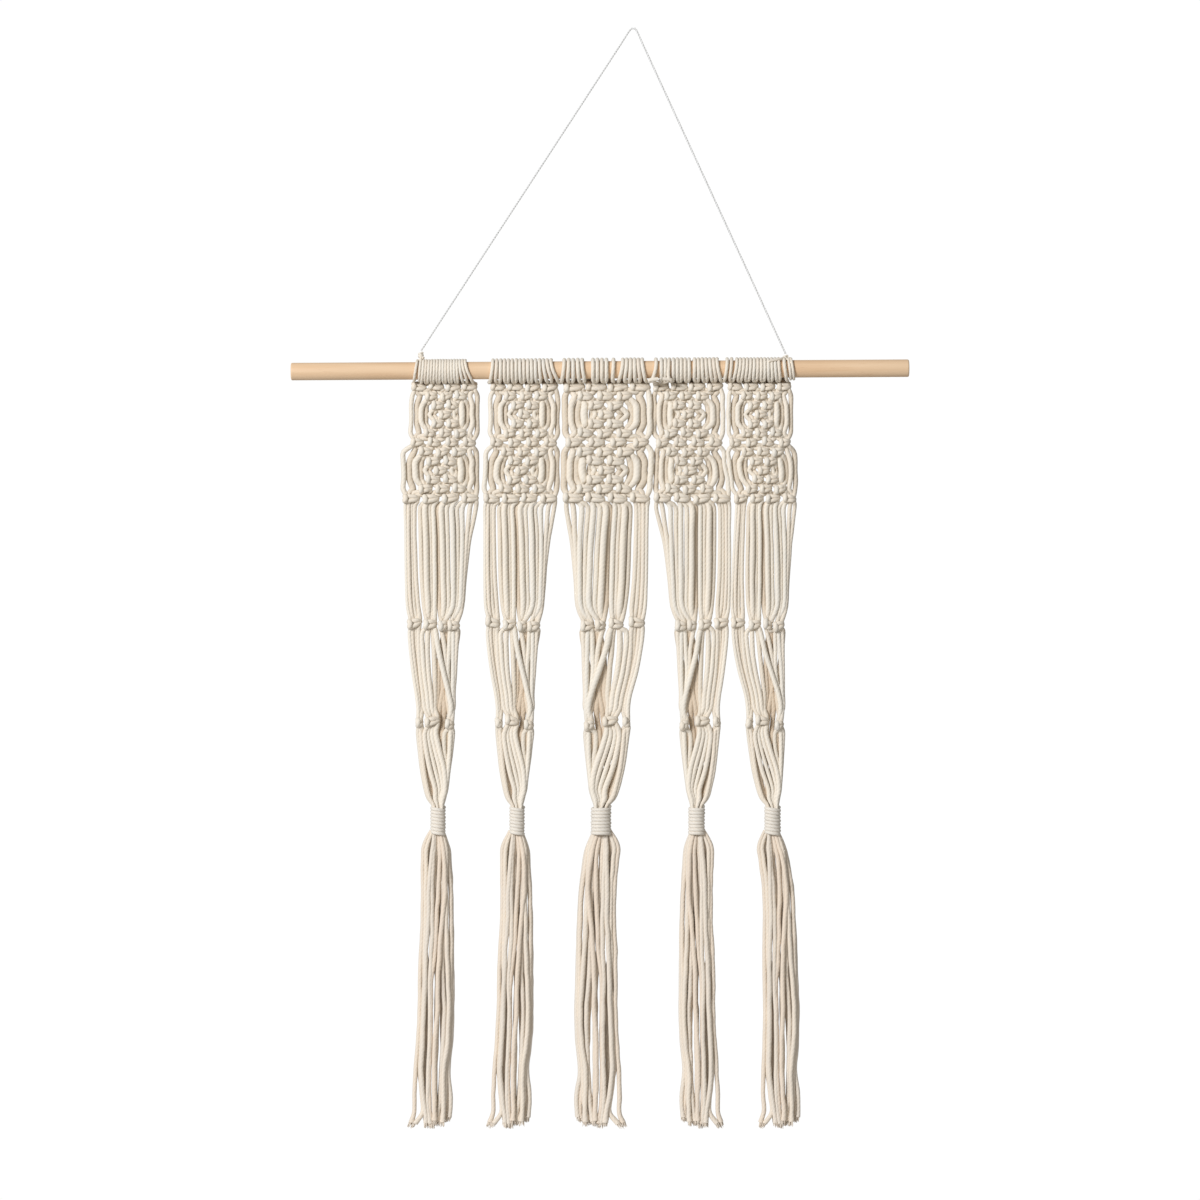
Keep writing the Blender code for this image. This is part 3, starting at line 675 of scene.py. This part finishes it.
panelShape = {
    "levels": ("top", "mid", "low", "bar", "trio", "neck", "belly", "tip"),
    "edges": {
        1: ((-180.0, -125.2), (-187.3, -124.6), (-186.9, -123.9), (-182.4, -139.1),
            (-175.6, -143.6), (-164.2, -151.3), (-173.1, -145.6), (-179.0, -146.4)),
        2: ((-116.2, -59.9), (-120.1, -59.3), (-122.4, -60.7), (-119.3, -74.4),
            (-111.2, -79.7), (-100.3, -87.4), (-108.8, -81.7), (-115.2, -82.5)),
        3: ((14.8, -56.2), (16.8, -58.3), (14.4, -57.4), (9.8, -44.1),
            (-2.4, -40.5), (-17.4, -34.4), (-11.3, -43.7), (-8.9, -47.7)),
        4: ((73.8, 16.0), (75.0, 17.8), (80.8, 15.4), (77.5, 32.8),
            (70.4, 37.2), (58.4, 44.4), (66.3, 38.8), (70.4, 38.0)),
        5: ((76.3, 128.9), (76.0, 132.6), (81.8, 133.4), (79.3, 123.8),
            (91.4, 123.0), (106.0, 119.8), (102.7, 130.2), (104.2, 135.9)),
    },
    # drop, level above, level below, share at the plain edge, share at the tapering edge
    "steps": (
        (287.0, "top", "mid", 0.0, 0.0),
        (333.0, "top", "mid", 0.15, 0.1),
        (340.0, "top", "mid", 0.85, 0.7),
        (347.0, "top", "mid", 1.0, 1.0),
        (384.8, "mid", "low", 1.0, 1.0),
        (419.4, "low", "bar", 0.4, 0.6),
        (480.0, "low", "bar", 1.0, 1.0),
        (512.0, "bar", "trio", 0.2, 0.6),
        (535.0, "bar", "trio", 0.85, 1.05),
        (560.3, "bar", "trio", 1.0, 1.0),
        (595.0, "trio", "neck", 0.3, 0.5),
        (622.5, "trio", "neck", 0.7, 0.95),
        (654.1, "trio", "neck", 1.0, 1.0),
        (688.1, "neck", "belly", 1.0, 1.0),
        (888.7, "belly", "tip", 1.0, 1.0),
    ),
    "waist": 366.0,          # where a panel's width is measured, its drop in mm
    "width": 60.0,           # cords are thicker in a panel wider than this
    "thicker": 0.8,
    "neckMiddle": 654.0,     # drops where the neck's middle and its width are measured
    "neckWidth": 654.1,
    "leanDepth": 6.5,        # the panel comes off the back of the dowel and hangs back into line
    "leanTop": 287.0,
    "leanFade": 15.0,
    "leanEnd": 360.0,
    "seed": 40,              # and the panel's number, for what is uneven in it
}


def edgePlaces(panel):
    levels = dict(zip(panelShape["levels"], panelShape["edges"][panel]))
    places = []
    for drop, above, below, plain, taper in panelShape["steps"]:
        upper = levels[above]
        lower = levels[below]
        places.append((drop, upper[0] + (lower[0] - upper[0]) * plain,
                       upper[1] + (lower[1] - upper[1]) * taper))
    return places


cordCount = 16              # in a panel: eight cords folded over the dowel


class Panel:
    # each cord is a run of points from the dowel down
    def __init__(self, number):
        self.number = number
        self.places = edgePlaces(number)
        self.side = 1 if self.places[0][2] > self.places[0][1] else -1
        self.runs = [[] for cord in range(cordCount)]
        self.chance = random.Random(panelShape["seed"] + number)
        self.wider = (self.width(panelShape["waist"]) / panelShape["width"]) ** panelShape["thicker"]

    def across(self, share, drop):
        places = self.places
        if drop <= places[0][0]:
            plain, taper = places[0][1:]
        else:
            for first, second in zip(places, places[1:]):
                if drop <= second[0]:
                    break
            way = min(1.0, (drop - first[0]) / (second[0] - first[0]))
            plain = first[1] + (second[1] - first[1]) * way
            taper = first[2] + (second[2] - first[2]) * way
        return plain + (taper - plain) * share

    def width(self, drop):
        return abs(self.across(1.0, drop) - self.across(0.0, drop))

    def lean(self, drop):
        fallen = max(0.0, drop - panelShape["leanTop"]) / panelShape["leanFade"]
        return panelShape["leanDepth"] * math.exp(-fallen) if drop < panelShape["leanEnd"] else 0.0

    def put(self, cord, x, depth, drop, thickness, worked=0.0):
        self.runs[cord].append((x, depth + self.lean(drop), -drop, thickness, worked))

    def jitter(self, size):
        return self.chance.uniform(-size, size)


# the cords wrapped over the dowel

heading = {
    "thickness": {1: 0.78, 2: 0.92, 3: 1.0, 4: 0.94, 5: 0.86},
    # panel: runs of wraps from the plain edge on: first and last x over the dowel, first and last x under
    # it, cords
    "runs": {
        1: ((-169.5, -142.4, -170.9, -141.6, 13), (-140.1, -135.6, -138.0, -130.2, 3)),
        2: ((-113.3, -107.0, -115.2, -107.3, 3), (-103.9, -78.9, -103.9, -78.4, 9),
            (-75.7, -66.3, -74.5, -61.0, 4)),
        3: ((7.4, -8.2, 10.0, -11.1, 6), (-15.7, -15.7, -16.6, -16.6, 1), (-21.5, -32.4, -21.5, -32.4, 4),
            (-41.2, -55.6, -39.1, -57.4, 5)),
        4: ((68.0, 49.8, 70.6, 49.6, 7), (45.3, 32.6, 45.3, 32.6, 5), (26.2, 23.0, 26.2, 23.0, 2),
            (29.4, 29.4, 29.4, 29.4, 1), (18.4, 18.4, 14.8, 14.8, 1)),
        5: ((76.1, 79.6, 74.2, 78.2, 2), (84.0, 117.6, 81.5, 119.0, 13), (122.0, 122.0, 124.0, 124.0, 1)),
    },
    "turnedPair": {4: 7},    # this pair is looped the other way, its bar in front
    "widestPair": 3.4,
    "sweep": (6.0, 14.0, 1.6),               # height where a wrap starts to lean, over what height, how late
    # sideways share of the pitch, depth, height: bar behind, under, up the front, over, down the back
    "path": ((None, 10.0, -8.0), (0.25, 9.4, -8.6), (0.45, 7.6, -9.6), (0.35, 3.4, -9.6), (0.1, -1.6, -8.9),
             (0.0, -6.0, -6.0), (0.0, -8.45, 0.0), (0.0, -5.9, 5.9), (0.0, 0.0, 8.45), (-0.1, 5.9, 5.9),
             (-0.2, 8.45, 0.0), (-0.25, 8.6, -5.0), (-0.3, 8.6, -9.4)),
}


def wrapHeading(panel, look):
    tops = []
    sweeps = []
    for first, last, firstUnder, lastUnder, count in look["runs"][panel.number]:
        for step in range(count):
            way = step / max(1, count - 1)
            tops.append(first + (last - first) * way)
            sweeps.append(firstUnder + (lastUnder - firstUnder) * way - tops[-1])
    thickness = look["thickness"][panel.number]
    sweepTop, sweepHeight, sweepLate = look["sweep"]
    for cord, x in enumerate(tops):
        partner = tops[cord ^ 1]
        pitch = min(abs(partner - x), look["widestPair"]) * (1 if x > partner else -1)
        facing = -1 if look["turnedPair"].get(panel.number) == cord // 2 else 1
        for aside, depth, height in look["path"]:
            here = (x + partner) / 2 if aside is None else x + aside * pitch
            here += sweeps[cord] * min(1.0, max(0.0, (sweepTop - height) / sweepHeight)) ** sweepLate
            panel.runs[cord].append((here, depth * facing, dowelHeight(x) + height, thickness, 0.0))


# square knots: in a path, half knots sideways, depth in mm, share of the way down

knotLook = {
    "lead": ((0.60, -0.8, 0.22), (0.36, -2.6, 0.27), (-0.08, -3.3, 0.30), (-0.52, -2.8, 0.33),
             (-0.86, -1.5, 0.41), (-0.95, -0.6, 0.50), (-0.86, -1.5, 0.59), (-0.52, -2.8, 0.67),
             (-0.08, -3.3, 0.70), (0.36, -2.6, 0.73), (0.60, -0.8, 0.78)),
    "back": ((-0.88, -1.0, 0.16), (-0.66, 1.4, 0.28), (-0.25, 3.2, 0.38), (0.25, 3.2, 0.40),
             (0.66, 1.6, 0.32), (0.90, -1.0, 0.20), (0.88, -3.5, 0.28), (0.84, -4.4, 0.50),
             (0.88, -3.5, 0.72), (0.90, -1.0, 0.80), (0.66, 1.6, 0.68), (0.20, 3.2, 0.60),
             (-0.30, 3.0, 0.62), (-0.68, 1.2, 0.72), (-0.88, -1.0, 0.84)),
    "crown": (0.75, -3.0, 1.16),             # the bight at the side: beyond this, nearer than this, thickness
    "uneven": (0.3, 0.05, 0.14),             # place in mm, share of the width, slant
    "fillerDepth": 0.4,
    "fillerApart": (3.9, 0.75),              # mm, and at most this share of half a knot
    "layer": 2.4,
    "filling": 1.2,
    "worked": 0.45,          # how much painted shade its cords get
    "reach": (-0.1, -0.1),   # of its height, how far beyond it the cords inside stay side by side
}


def tieKnot(panel, members, x, half, top, bottom, thickness, crest=1.0, filling=knotLook["filling"],
            reach=knotLook["reach"]):
    look = knotLook
    height = bottom - top
    loose, wide, slanted = look["uneven"]
    x += panel.jitter(loose)
    half *= 1.0 + panel.jitter(wide)
    slant = panel.jitter(slanted)
    top += panel.jitter(loose)
    ends = (members[0], members[-1])[::panel.side]
    crownFrom, crownDepth, crownThickness = look["crown"]
    # its cords get painted shade, all but the crown at the side
    for cord, path in zip(ends, (look["lead"], look["back"])):
        for across, depth, down in path:
            crown = across > crownFrom and depth < crownDepth
            panel.put(cord, x - across * half + panel.jitter(loose), depth * crest + panel.jitter(loose),
                      top + (down + slant * across) * height, thickness * (crownThickness if crown else 1.0),
                      0.0 if crown else look["worked"])
    fillers = members[1:-1]
    columns = min(len(fillers), 2 if len(fillers) < 5 else 3)
    layers = math.ceil(len(fillers) / columns)
    apart = min(look["fillerApart"][0], half * look["fillerApart"][1])
    for place, cord in enumerate(fillers):
        column = place % columns - (columns - 1) / 2
        layer = place // columns - (layers - 1) / 2
        for down in (-reach[0], 0.5, 1.0 + reach[1]):
            panel.put(cord, x + panel.side * column * apart, look["fillerDepth"] + layer * look["layer"],
                      top + down * height, filling, look["worked"])


field = {
    "rows": (4, 3, 2, 1, 2, 3, 4, 3, 2, 1, 2, 3, 4),
    "top": 284.9,
    "row": 7.54,
    "halfKnot": 4.0,         # mm, for a panel of this width
    "width": 60.0,
    "knotPower": 1.4,        # how its size follows the panel's width
    "cordPower": 0.5,
    "reach": 0.1,            # between two knots
    "endReaches": (-0.1, -0.25),             # above the first row and below the last
    "endsWider": {0: 1.4, 12: 1.3},          # the first and last rows
    "shift": {4: 0.0, 3: 0.025, 2: 0.02, 1: 0.01},
    "gather": {4: 1.0, 3: 0.88, 2: 0.88, 1: 1.0},    # rows of fewer knots draw together
    "thickness": 1.14,
    "filling": 1.2,
    # a loose cord beside the knots, by its place: share of the width beside the upper and the lower
    # diamond, depth, thickness
    "loose": {0: (0.022, 0.022, 0.0, 1.25), 1: (0.100, 0.098, 2.8, 1.7), 2: (0.166, 0.172, 0.2, 1.6),
              3: (0.228, 0.240, 2.8, 1.5), 4: (0.283, 0.295, 0.2, 1.25), 5: (0.338, 0.352, 2.6, 1.2),
              10: (0.640, 0.640, 0.4, 1.2), 11: (0.682, 0.695, 2.8, 1.2), 12: (0.762, 0.770, -0.4, 1.7),
              13: (0.842, 0.842, 2.8, 1.7), 14: (0.912, 0.905, 0.0, 1.4), 15: (0.978, 0.968, 2.6, 1.4)},
    # the outer loops draw in towards their ends: share of the width by row and place
    "loops": {1: {1: 0.140, 14: 0.872}, 5: {1: 0.138, 14: 0.872},
              7: {1: 0.152, 14: 0.872}, 11: {1: 0.142, 14: 0.868}},
    "bow": 0.042,            # how far a loose cord bows out, of the width
    "diamonds": (3, 9),      # rows in the middle of the two diamonds
    "hiddenDepth": 2.4,      # deeper than this it lies behind the others and gets painted shade
    "uneven": 0.4,
}


def knotField(panel, look):
    lastRow = len(look["rows"]) - 1
    waistRow = lastRow // 2
    half = cordCount // 2
    for row, knots in enumerate(look["rows"]):
        top = look["top"] + row * look["row"]
        middle = top + look["row"] / 2
        first = half - 2 * knots
        wider = panel.width(middle) / look["width"]
        halfKnot = look["halfKnot"] * wider ** look["knotPower"] * look["endsWider"].get(row, 1.0)
        stouter = wider ** look["cordPower"]
        reach = (look["reach"] if row else look["endReaches"][0],
                 look["reach"] if row < lastRow else look["endReaches"][1])
        for knot in range(knots):
            start = first + 4 * knot
            share = 0.5 + ((start + 2) / cordCount - 0.5) * look["gather"][knots] + look["shift"][knots]
            tieKnot(panel, range(start, start + 4), panel.across(share, middle), halfKnot, top,
                    top + look["row"], look["thickness"] * stouter, filling=look["filling"] * stouter,
                    reach=reach)
        below = row > waistRow
        for cord in list(range(first)) + list(range(cordCount - first, cordCount)):
            *shares, depth, thickness = look["loose"][cord]
            share = look["loops"].get(row, {}).get(cord, shares[below])
            inner = min(cord, cordCount - 1 - cord)
            away = abs(row - look["diamonds"][below]) / (3.0 - inner // 2)
            if inner > 1:
                share += look["bow"] * away ** 2 * (1 if cord < half else -1)
            # a loose cord lying behind the others gets painted shade
            panel.put(cord, panel.across(share, middle) + panel.jitter(look["uneven"]), depth, middle,
                      thickness * wider, 1.0 if depth > look["hiddenDepth"] else 0.0)


# loose lengths between the rows of knots: for each cord its share of the width at each drop, then
# depth and thickness

longCords = {
    "drops": (386.2, 400.9, 417.0, 445.4, 466.5),
    "cords": (
        (0.041, 0.038, 0.030, 0.015, 0.014, 0.3, 0.9),
        (0.083, 0.077, 0.070, 0.061, 0.072, 0.0, 0.95),
        (0.126, 0.121, 0.120, 0.120, 0.135, 1.7, 1.05),
        (0.162, 0.160, 0.166, 0.175, 0.204, 1.2, 1.05),
        (0.235, 0.243, 0.257, 0.272, 0.308, 2.0, 1.15),
        (0.295, 0.311, 0.336, 0.351, 0.380, -0.6, 1.45),
        (0.354, 0.377, 0.405, 0.423, 0.440, 1.4, 1.1),
        (0.404, 0.430, 0.463, 0.487, 0.500, 0.2, 1.15),
        (0.466, 0.494, 0.532, 0.564, 0.585, 3.4, 1.35),
        (0.508, 0.543, 0.589, 0.629, 0.662, -0.6, 1.45),
        (0.579, 0.614, 0.664, 0.709, 0.743, 1.1, 1.2),
        (0.648, 0.693, 0.750, 0.798, 0.821, -0.5, 1.35),
        (0.713, 0.760, 0.820, 0.865, 0.885, 1.3, 1.15),
        (0.782, 0.829, 0.891, 0.932, 0.948, 0.0, 1.2),
        (0.878, 0.908, 0.949, 0.969, 0.979, 0.9, 1.15),
        (0.957, 0.971, 0.985, 0.985, 0.990, 1.6, 1.05),
    ),
}
crossingCords = {
    "drops": (488.0, 502.0, 519.8, 537.6, 549.0),
    "cords": (
        (0.030, 0.042, 0.048, 0.045, 0.070, 0.0, 1.05),
        (0.083, 0.090, 0.100, 0.095, 0.110, 0.6, 1.0),
        (0.150, 0.150, 0.150, 0.140, 0.160, 2.2, 1.1),
        (0.205, 0.203, 0.200, 0.200, 0.235, 0.9, 1.2),
        (0.272, 0.277, 0.285, 0.300, 0.325, 0.0, 1.2),
        (0.376, 0.372, 0.378, 0.395, 0.415, 0.4, 1.3),
        (0.480, 0.505, 0.515, 0.500, 0.480, 1.8, 1.25),
        (0.535, 0.597, 0.710, 0.840, 0.895, -1.4, 1.35),
        (0.655, 0.720, 0.765, 0.830, 0.880, 0.8, 1.2),
        (0.690, 0.640, 0.600, 0.560, 0.500, 3.6, 1.4),
        (0.730, 0.690, 0.670, 0.690, 0.720, 4.2, 1.45),
        (0.790, 0.790, 0.770, 0.670, 0.600, 3.8, 1.4),
        (0.800, 0.807, 0.800, 0.850, 0.880, 0.6, 1.15),
        (0.865, 0.890, 0.918, 0.935, 0.940, 0.3, 1.15),
        (0.940, 0.945, 0.955, 0.955, 0.955, 0.9, 1.1),
        (0.955, 0.930, 0.870, 0.800, 0.830, 3.2, 1.3),
    ),
}
gatheredCords = {
    "drops": (569.5, 582.9, 599.1, 614.0, 622.0),
    "cords": (
        (0.023, 0.026, 0.031, 0.058, 0.136, 1.6, 1.05),
        (0.102, 0.097, 0.100, 0.130, 0.202, 0.4, 1.1),
        (0.135, 0.140, 0.160, 0.190, 0.259, 3.2, 1.2),
        (0.205, 0.225, 0.312, 0.470, 0.466, -0.4, 1.25),
        (0.300, 0.350, 0.490, 0.640, 0.595, 0.7, 1.1),
        (0.400, 0.490, 0.660, 0.800, 0.724, 0.2, 1.2),
        (0.500, 0.610, 0.800, 0.890, 0.818, -0.6, 1.35),
        (0.740, 0.760, 0.880, 0.930, 0.844, 1.6, 1.2),
        (0.800, 0.850, 0.890, 0.890, 0.792, 3.8, 1.25),
        (0.330, 0.290, 0.240, 0.240, 0.319, 4.6, 1.4),
        (0.660, 0.650, 0.640, 0.620, 0.603, 5.0, 1.45),
        (0.520, 0.480, 0.450, 0.440, 0.466, 4.6, 1.4),
        (0.898, 0.920, 0.930, 0.910, 0.827, 0.2, 1.2),
        (0.965, 0.965, 0.950, 0.930, 0.870, 1.6, 1.1),
        (0.930, 0.900, 0.860, 0.800, 0.689, 4.2, 1.3),
        (0.820, 0.790, 0.770, 0.740, 0.689, 4.6, 1.4),
    ),
}


looseLook = {
    "rounding": (0.6, 0.2, 0.5),             # how a cord's depth sets in after a knot: start, end, power
    "closing": (0.85, 1.5),                  # into the neck: share of its depth that stays, mm forward
    "darkFrom": 0.6,         # depth where a cord starts to get painted shade
    "darkOver": 2.4,
    "deepFrom": 2.9,         # and depth where it starts to get the deep painted shade
}


def looseCords(panel, look, intoNeck=False):
    drops = look["drops"]
    early, late, power = looseLook["rounding"]
    stays, forward = looseLook["closing"]
    for cord, row in enumerate(look["cords"]):
        depth, thickness = row[-2:]
        # painted shade: a cord lying further back is painted darker, the deepest in the deep colour
        shaded = min(1.0, max(0.0, (depth - looseLook["darkFrom"]) / looseLook["darkOver"]))
        hidden = min(1.0, max(0.0, depth - looseLook["deepFrom"]))
        for place, drop in enumerate(drops):
            pulled = depth * math.sin((place + early) / (len(drops) + late) * math.pi) ** power
            if intoNeck:
                way = place / (len(drops) - 1)
                pulled = pulled * (1 - way) + (depth * stays - forward) * way
            panel.put(cord, panel.across(row[place], drop), pulled, drop, thickness * panel.wider,
                      shaded + hidden)


# the bar of four knots, and the three knots under it: middle, half width, drop, members, crest

knotRows = {
    "bar": ((0.130, 4.3, 475.2, range(0, 4), 1.0), (0.432, 3.8, 476.4, range(4, 8), 1.0),
            (0.665, 2.2, 477.0, range(8, 12), 1.2), (0.870, 3.4, 477.6, range(12, 16), 1.0)),
    "barHeight": 9.2,
    "trio": ((0.082, 1.4, 556.4, (0, 1, 2), 0.8), (0.425, 4.3, 555.0, (3, 4, 5, 6), 1.05),
             (0.861, 2.1, 558.0, (8, 7, 12, 14, 15, 13), 1.1)),
    "trioHeight": 8.4,
    "thickness": 1.2,
}
behindTrio = {
    "cords": {9: (0.420, 4.8), 10: (0.690, 5.2), 11: (0.560, 4.8)},          # share of the width, depth
    "drop": 560.0,
    "thickness": 1.3,
    # painted shade for the cords behind the trio
    "hidden": 1.8,
}


def knotRow(panel, look, name):
    height = look[name + "Height"]
    for share, half, top, members, crest in look[name]:
        tieKnot(panel, members, panel.across(share, top + height / 2), half * panel.wider, top, top + height,
                look["thickness"], crest)


def cordsBehind(panel, look):
    for cord, (share, depth) in look["cords"].items():
        panel.put(cord, panel.across(share, look["drop"]), depth, look["drop"],
                  look["thickness"] * panel.wider, look["hidden"])


# the gathered cords run down through the wrap

neck = {
    "drops": (629.0, 640.0),
    "room": 0.64,            # of the wrap's half width
    "spread": 2.4,
    "depth": 0.8,
    "flattened": 2.2,
    "thickness": 0.75,
}


def throughNeck(panel, look):
    middle = panel.across(0.5, panelShape["neckMiddle"])
    room = panel.width(panelShape["neckWidth"]) / 2 * look["room"]
    stays, forward = looseLook["closing"]
    for cord, row in enumerate(gatheredCords["cords"]):
        aside = panel.side * (row[4] - 0.5) * look["spread"] * room
        depth = (row[5] * stays - forward) / look["flattened"] * room * look["depth"]
        for drop in look["drops"]:
            panel.put(cord, middle + aside, depth, drop, look["thickness"])


cordSizes = {"Cord diameter": 3.2 * mm, "Sides": 8, "Steps": 3, "Waver": 0.25 * mm, "Swell": 0.12,
             "Finish": cotton}


def makePanel(number):
    panel = Panel(number)
    wrapHeading(panel, heading)
    knotField(panel, field)
    looseCords(panel, longCords)
    knotRow(panel, knotRows, "bar")
    looseCords(panel, crossingCords)
    cordsBehind(panel, behindTrio)
    knotRow(panel, knotRows, "trio")
    looseCords(panel, gatheredCords, intoNeck=True)
    throughNeck(panel, neck)
    piece = laid(f"knottedPanel_{number}", panel.runs, trees["cord"], cordSizes | {"Tone seed": 5})
    placed(piece, "cotton_cord", f"panel_{number}")
    return panel


# the wrap round the neck

wrapLook = {
    "top": 628.9,
    "bottom": 651.9,
    "turns": 8.5,
    "thickness": 0.95,
    "inset": 1.6,            # of the cord's middle from the neck's outline
    "slant": 0.07,
    "uneven": (0.02, 0.37),  # share of the radius, and how often for each turn
    "points": 18,
    "tuckedEnd": (0.4, 0.2),                 # share of the radius, mm up
}


def makeWrap(panel, look):
    middle = panel.across(0.5, panelShape["neckMiddle"])
    radius = panel.width(panelShape["neckWidth"]) / 2 - look["inset"]
    count = int(look["turns"] * look["points"])
    share, often = look["uneven"]
    run = []
    for step in range(count + 1):
        angle = step / look["points"] * math.tau
        swell = radius * (1.0 + share * math.sin(angle * often + panel.number))
        x = swell * math.cos(angle)
        z = -look["top"] + step / count * (look["top"] - look["bottom"]) - look["slant"] * panel.side * x
        run.append((middle + x, swell * math.sin(angle), z, look["thickness"]))
    inward, rise = look["tuckedEnd"]
    x, y, z, thickness = run[0]
    tucked = (middle + (x - middle) * inward, y * inward, z + rise, thickness)
    piece = laid(f"neckCoil_{panel.number}", [[tucked] + run], trees["cord"],
                 cordSizes | {"Steps": 2, "Tone seed": 9, "Finish": neckCotton})
    return placed(piece, "cotton_cord", f"neck_wrap_{panel.number}")


# tassel: share of the width at each drop, then how much longer than the shortest, depth and thickness

tassel = {
    "drops": (648.0, 660.5, 671.9, 696.1, 720.4, 744.7, 769.0, 793.2, 817.5, 841.8, 862.0, 875.7),
    "shortest": 880.0,
    "rounded": 3.0,          # mm taken off for the frayed end
    "width": 29.5,           # cords are thicker in a tassel wider than this, at this drop
    "widthDrop": 790.0,
    "cords": (
        (0.094, -0.203, -0.049, 0.125, 0.139, 0.113, 0.108, 0.116, 0.097, 0.054, 0.046, 0.051, -0.022,
         7.1, 0.2, 1.1),
        (0.219, -0.048, 0.069, 0.207, 0.219, 0.211, 0.231, 0.210, 0.189, 0.170, 0.231, 0.259, 0.082,
         7.9, -0.8, 1.1),
        (0.312, 0.261, 0.286, 0.301, 0.305, 0.264, 0.250, 0.237, 0.218, 0.201, 0.262, 0.334, 0.355,
         7.1, -2.4, 1.2),
        (0.375, 0.323, 0.345, 0.388, 0.411, 0.407, 0.373, 0.403, 0.405, 0.384, 0.383, 0.409, 0.442,
         7.9, -1.9, 1.15),
        (0.625, 0.788, 0.801, 0.771, 0.696, 0.639, 0.601, 0.599, 0.549, 0.536, 0.551, 0.567, 0.558,
         5.5, -2.8, 1.2),
        (0.562, 0.700, 0.718, 0.686, 0.719, 0.714, 0.724, 0.773, 0.759, 0.726, 0.698, 0.647, 0.615,
         6.3, 0.4, 1.3),
        (0.750, 0.891, 0.848, 0.791, 0.813, 0.835, 0.880, 0.907, 0.872, 0.778, 0.774, 0.778, 0.764,
         6.3, -1.6, 1.2),
        (0.719, 0.958, 0.942, 0.928, 0.953, 0.952, 0.943, 0.939, 0.899, 0.827, 0.814, 0.760, 0.697,
         5.5, 0.6, 1.15),
        (0.812, 0.994, 0.982, 0.937, 0.970, 0.980, 0.986, 0.995, 0.964, 0.891, 0.956, 0.943, 0.921,
         3.0, 2.2, 1.15),
        (0.500, 0.612, 0.620, 0.572, 0.533, 0.510, 0.423, 0.419, 0.426, 0.412, 0.424, 0.452, 0.484,
         7.9, -1.6, 1.15),
        (0.438, 0.442, 0.443, 0.470, 0.525, 0.505, 0.579, 0.572, 0.570, 0.561, 0.566, 0.585, 0.578,
         4.6, 1.2, 1.3),
        (0.188, -0.125, 0.010, 0.169, 0.191, 0.169, 0.176, 0.170, 0.150, 0.149, 0.262, 0.309, 0.342,
         5.5, 3.4, 1.15),
        (0.281, 0.081, 0.168, 0.271, 0.262, 0.239, 0.313, 0.317, 0.308, 0.286, 0.325, 0.372, 0.400,
         6.3, 3.2, 1.15),
        (0.406, 0.287, 0.325, 0.417, 0.391, 0.421, 0.360, 0.408, 0.418, 0.396, 0.401, 0.427, 0.459,
         4.6, 3.6, 1.2),
        (0.531, 0.674, 0.679, 0.651, 0.633, 0.659, 0.683, 0.719, 0.741, 0.752, 0.731, 0.710, 0.682,
         4.6, 3.4, 1.25),
        (0.625, 0.855, 0.777, 0.709, 0.748, 0.770, 0.798, 0.840, 0.838, 0.819, 0.865, 0.878, 0.856,
         3.8, 3.2, 1.25),
    ),
    "spreading": (0.35, 0.3, 1.1),           # of its depth: share at first, more at each drop, in all
    "underWrap": 0.62,       # how thin a cord starts
    "endSwell": 1.22,
    "fibres": 14,
    "fibreLength": 4.5,
    "fibre": 0.8,
    "fibreReach": 1.75,      # from the cord's middle, for a cord 1 thick
    "fibreSpread": (0.05, 1.0),
    "fibreLengths": (0.45, 1.0),
    # one fibre: share of its reach sideways and in depth, mm up, share of its length down, thickness
    "fibrePath": ((0.8, 0.8, 1.2, 0.0, 1.0), (1.0, 1.0, 0.0, 0.4, 1.0), (1.2, 1.1, 0.0, 1.0, 0.4)),
}


def makeTassel(panel, look):
    runs = []
    tufts = []
    stouter = (panel.width(look["widthDrop"]) / look["width"]) ** 0.5
    first, more, whole = look["spreading"]
    for row in look["cords"]:
        longer, depth, thickness = row[-3:]
        thickness *= stouter
        end = look["shortest"] + longer - look["rounded"]
        run = []
        for place, drop in enumerate(look["drops"] + (end,)):
            run.append((panel.across(row[place], drop), depth * min(1.0, first + place * more) * whole, -drop,
                        thickness * (1.0 if place else look["underWrap"])))
        x, y, z, thickness = run[-1]
        run[-1] = (x, y, z, thickness * look["endSwell"])
        runs.append(run)
        slant = (x - run[-2][0]) / (end - look["drops"][-1])
        for fibre in range(look["fibres"]):
            angle = panel.chance.uniform(0, math.tau)
            reach = panel.chance.uniform(*look["fibreSpread"]) ** 0.5 * look["fibreReach"] * thickness
            length = look["fibreLength"] * panel.chance.uniform(*look["fibreLengths"])
            dx = math.cos(angle) * reach
            dy = math.sin(angle) * reach
            tufts.append([
                (x + dx * aside + slant * length * down, y + dy * deep, z + up - length * down, thin)
                for aside, deep, up, down, thin in look["fibrePath"]])
    cords = laid(f"tasselCords_{panel.number}", runs, trees["cord"],
                 cordSizes | {"Steps": 8, "Tone seed": 7, "Finish": tasselCotton, "Waver": 0.7 * mm,
                              "Swell": 0.14})
    ends = laid(f"tasselEnds_{panel.number}", tufts, trees["cord"],
                {"Cord diameter": look["fibre"] * mm, "Sides": 5, "Steps": 2, "Tone seed": 11,
                 "Finish": tasselCotton, "Waver": 0.0, "Swell": 0.0})
    with bpy.context.temp_override(active_object=cords, selected_editable_objects=[cords, ends]):
        bpy.ops.object.join()
    return placed(cords, "cotton_cord", f"tassel_{panel.number}")


for number in panelShape["edges"]:
    panel = makePanel(number)
    makeWrap(panel, wrapLook)
    makeTassel(panel, tassel)
    print("panel", number, "knotted")
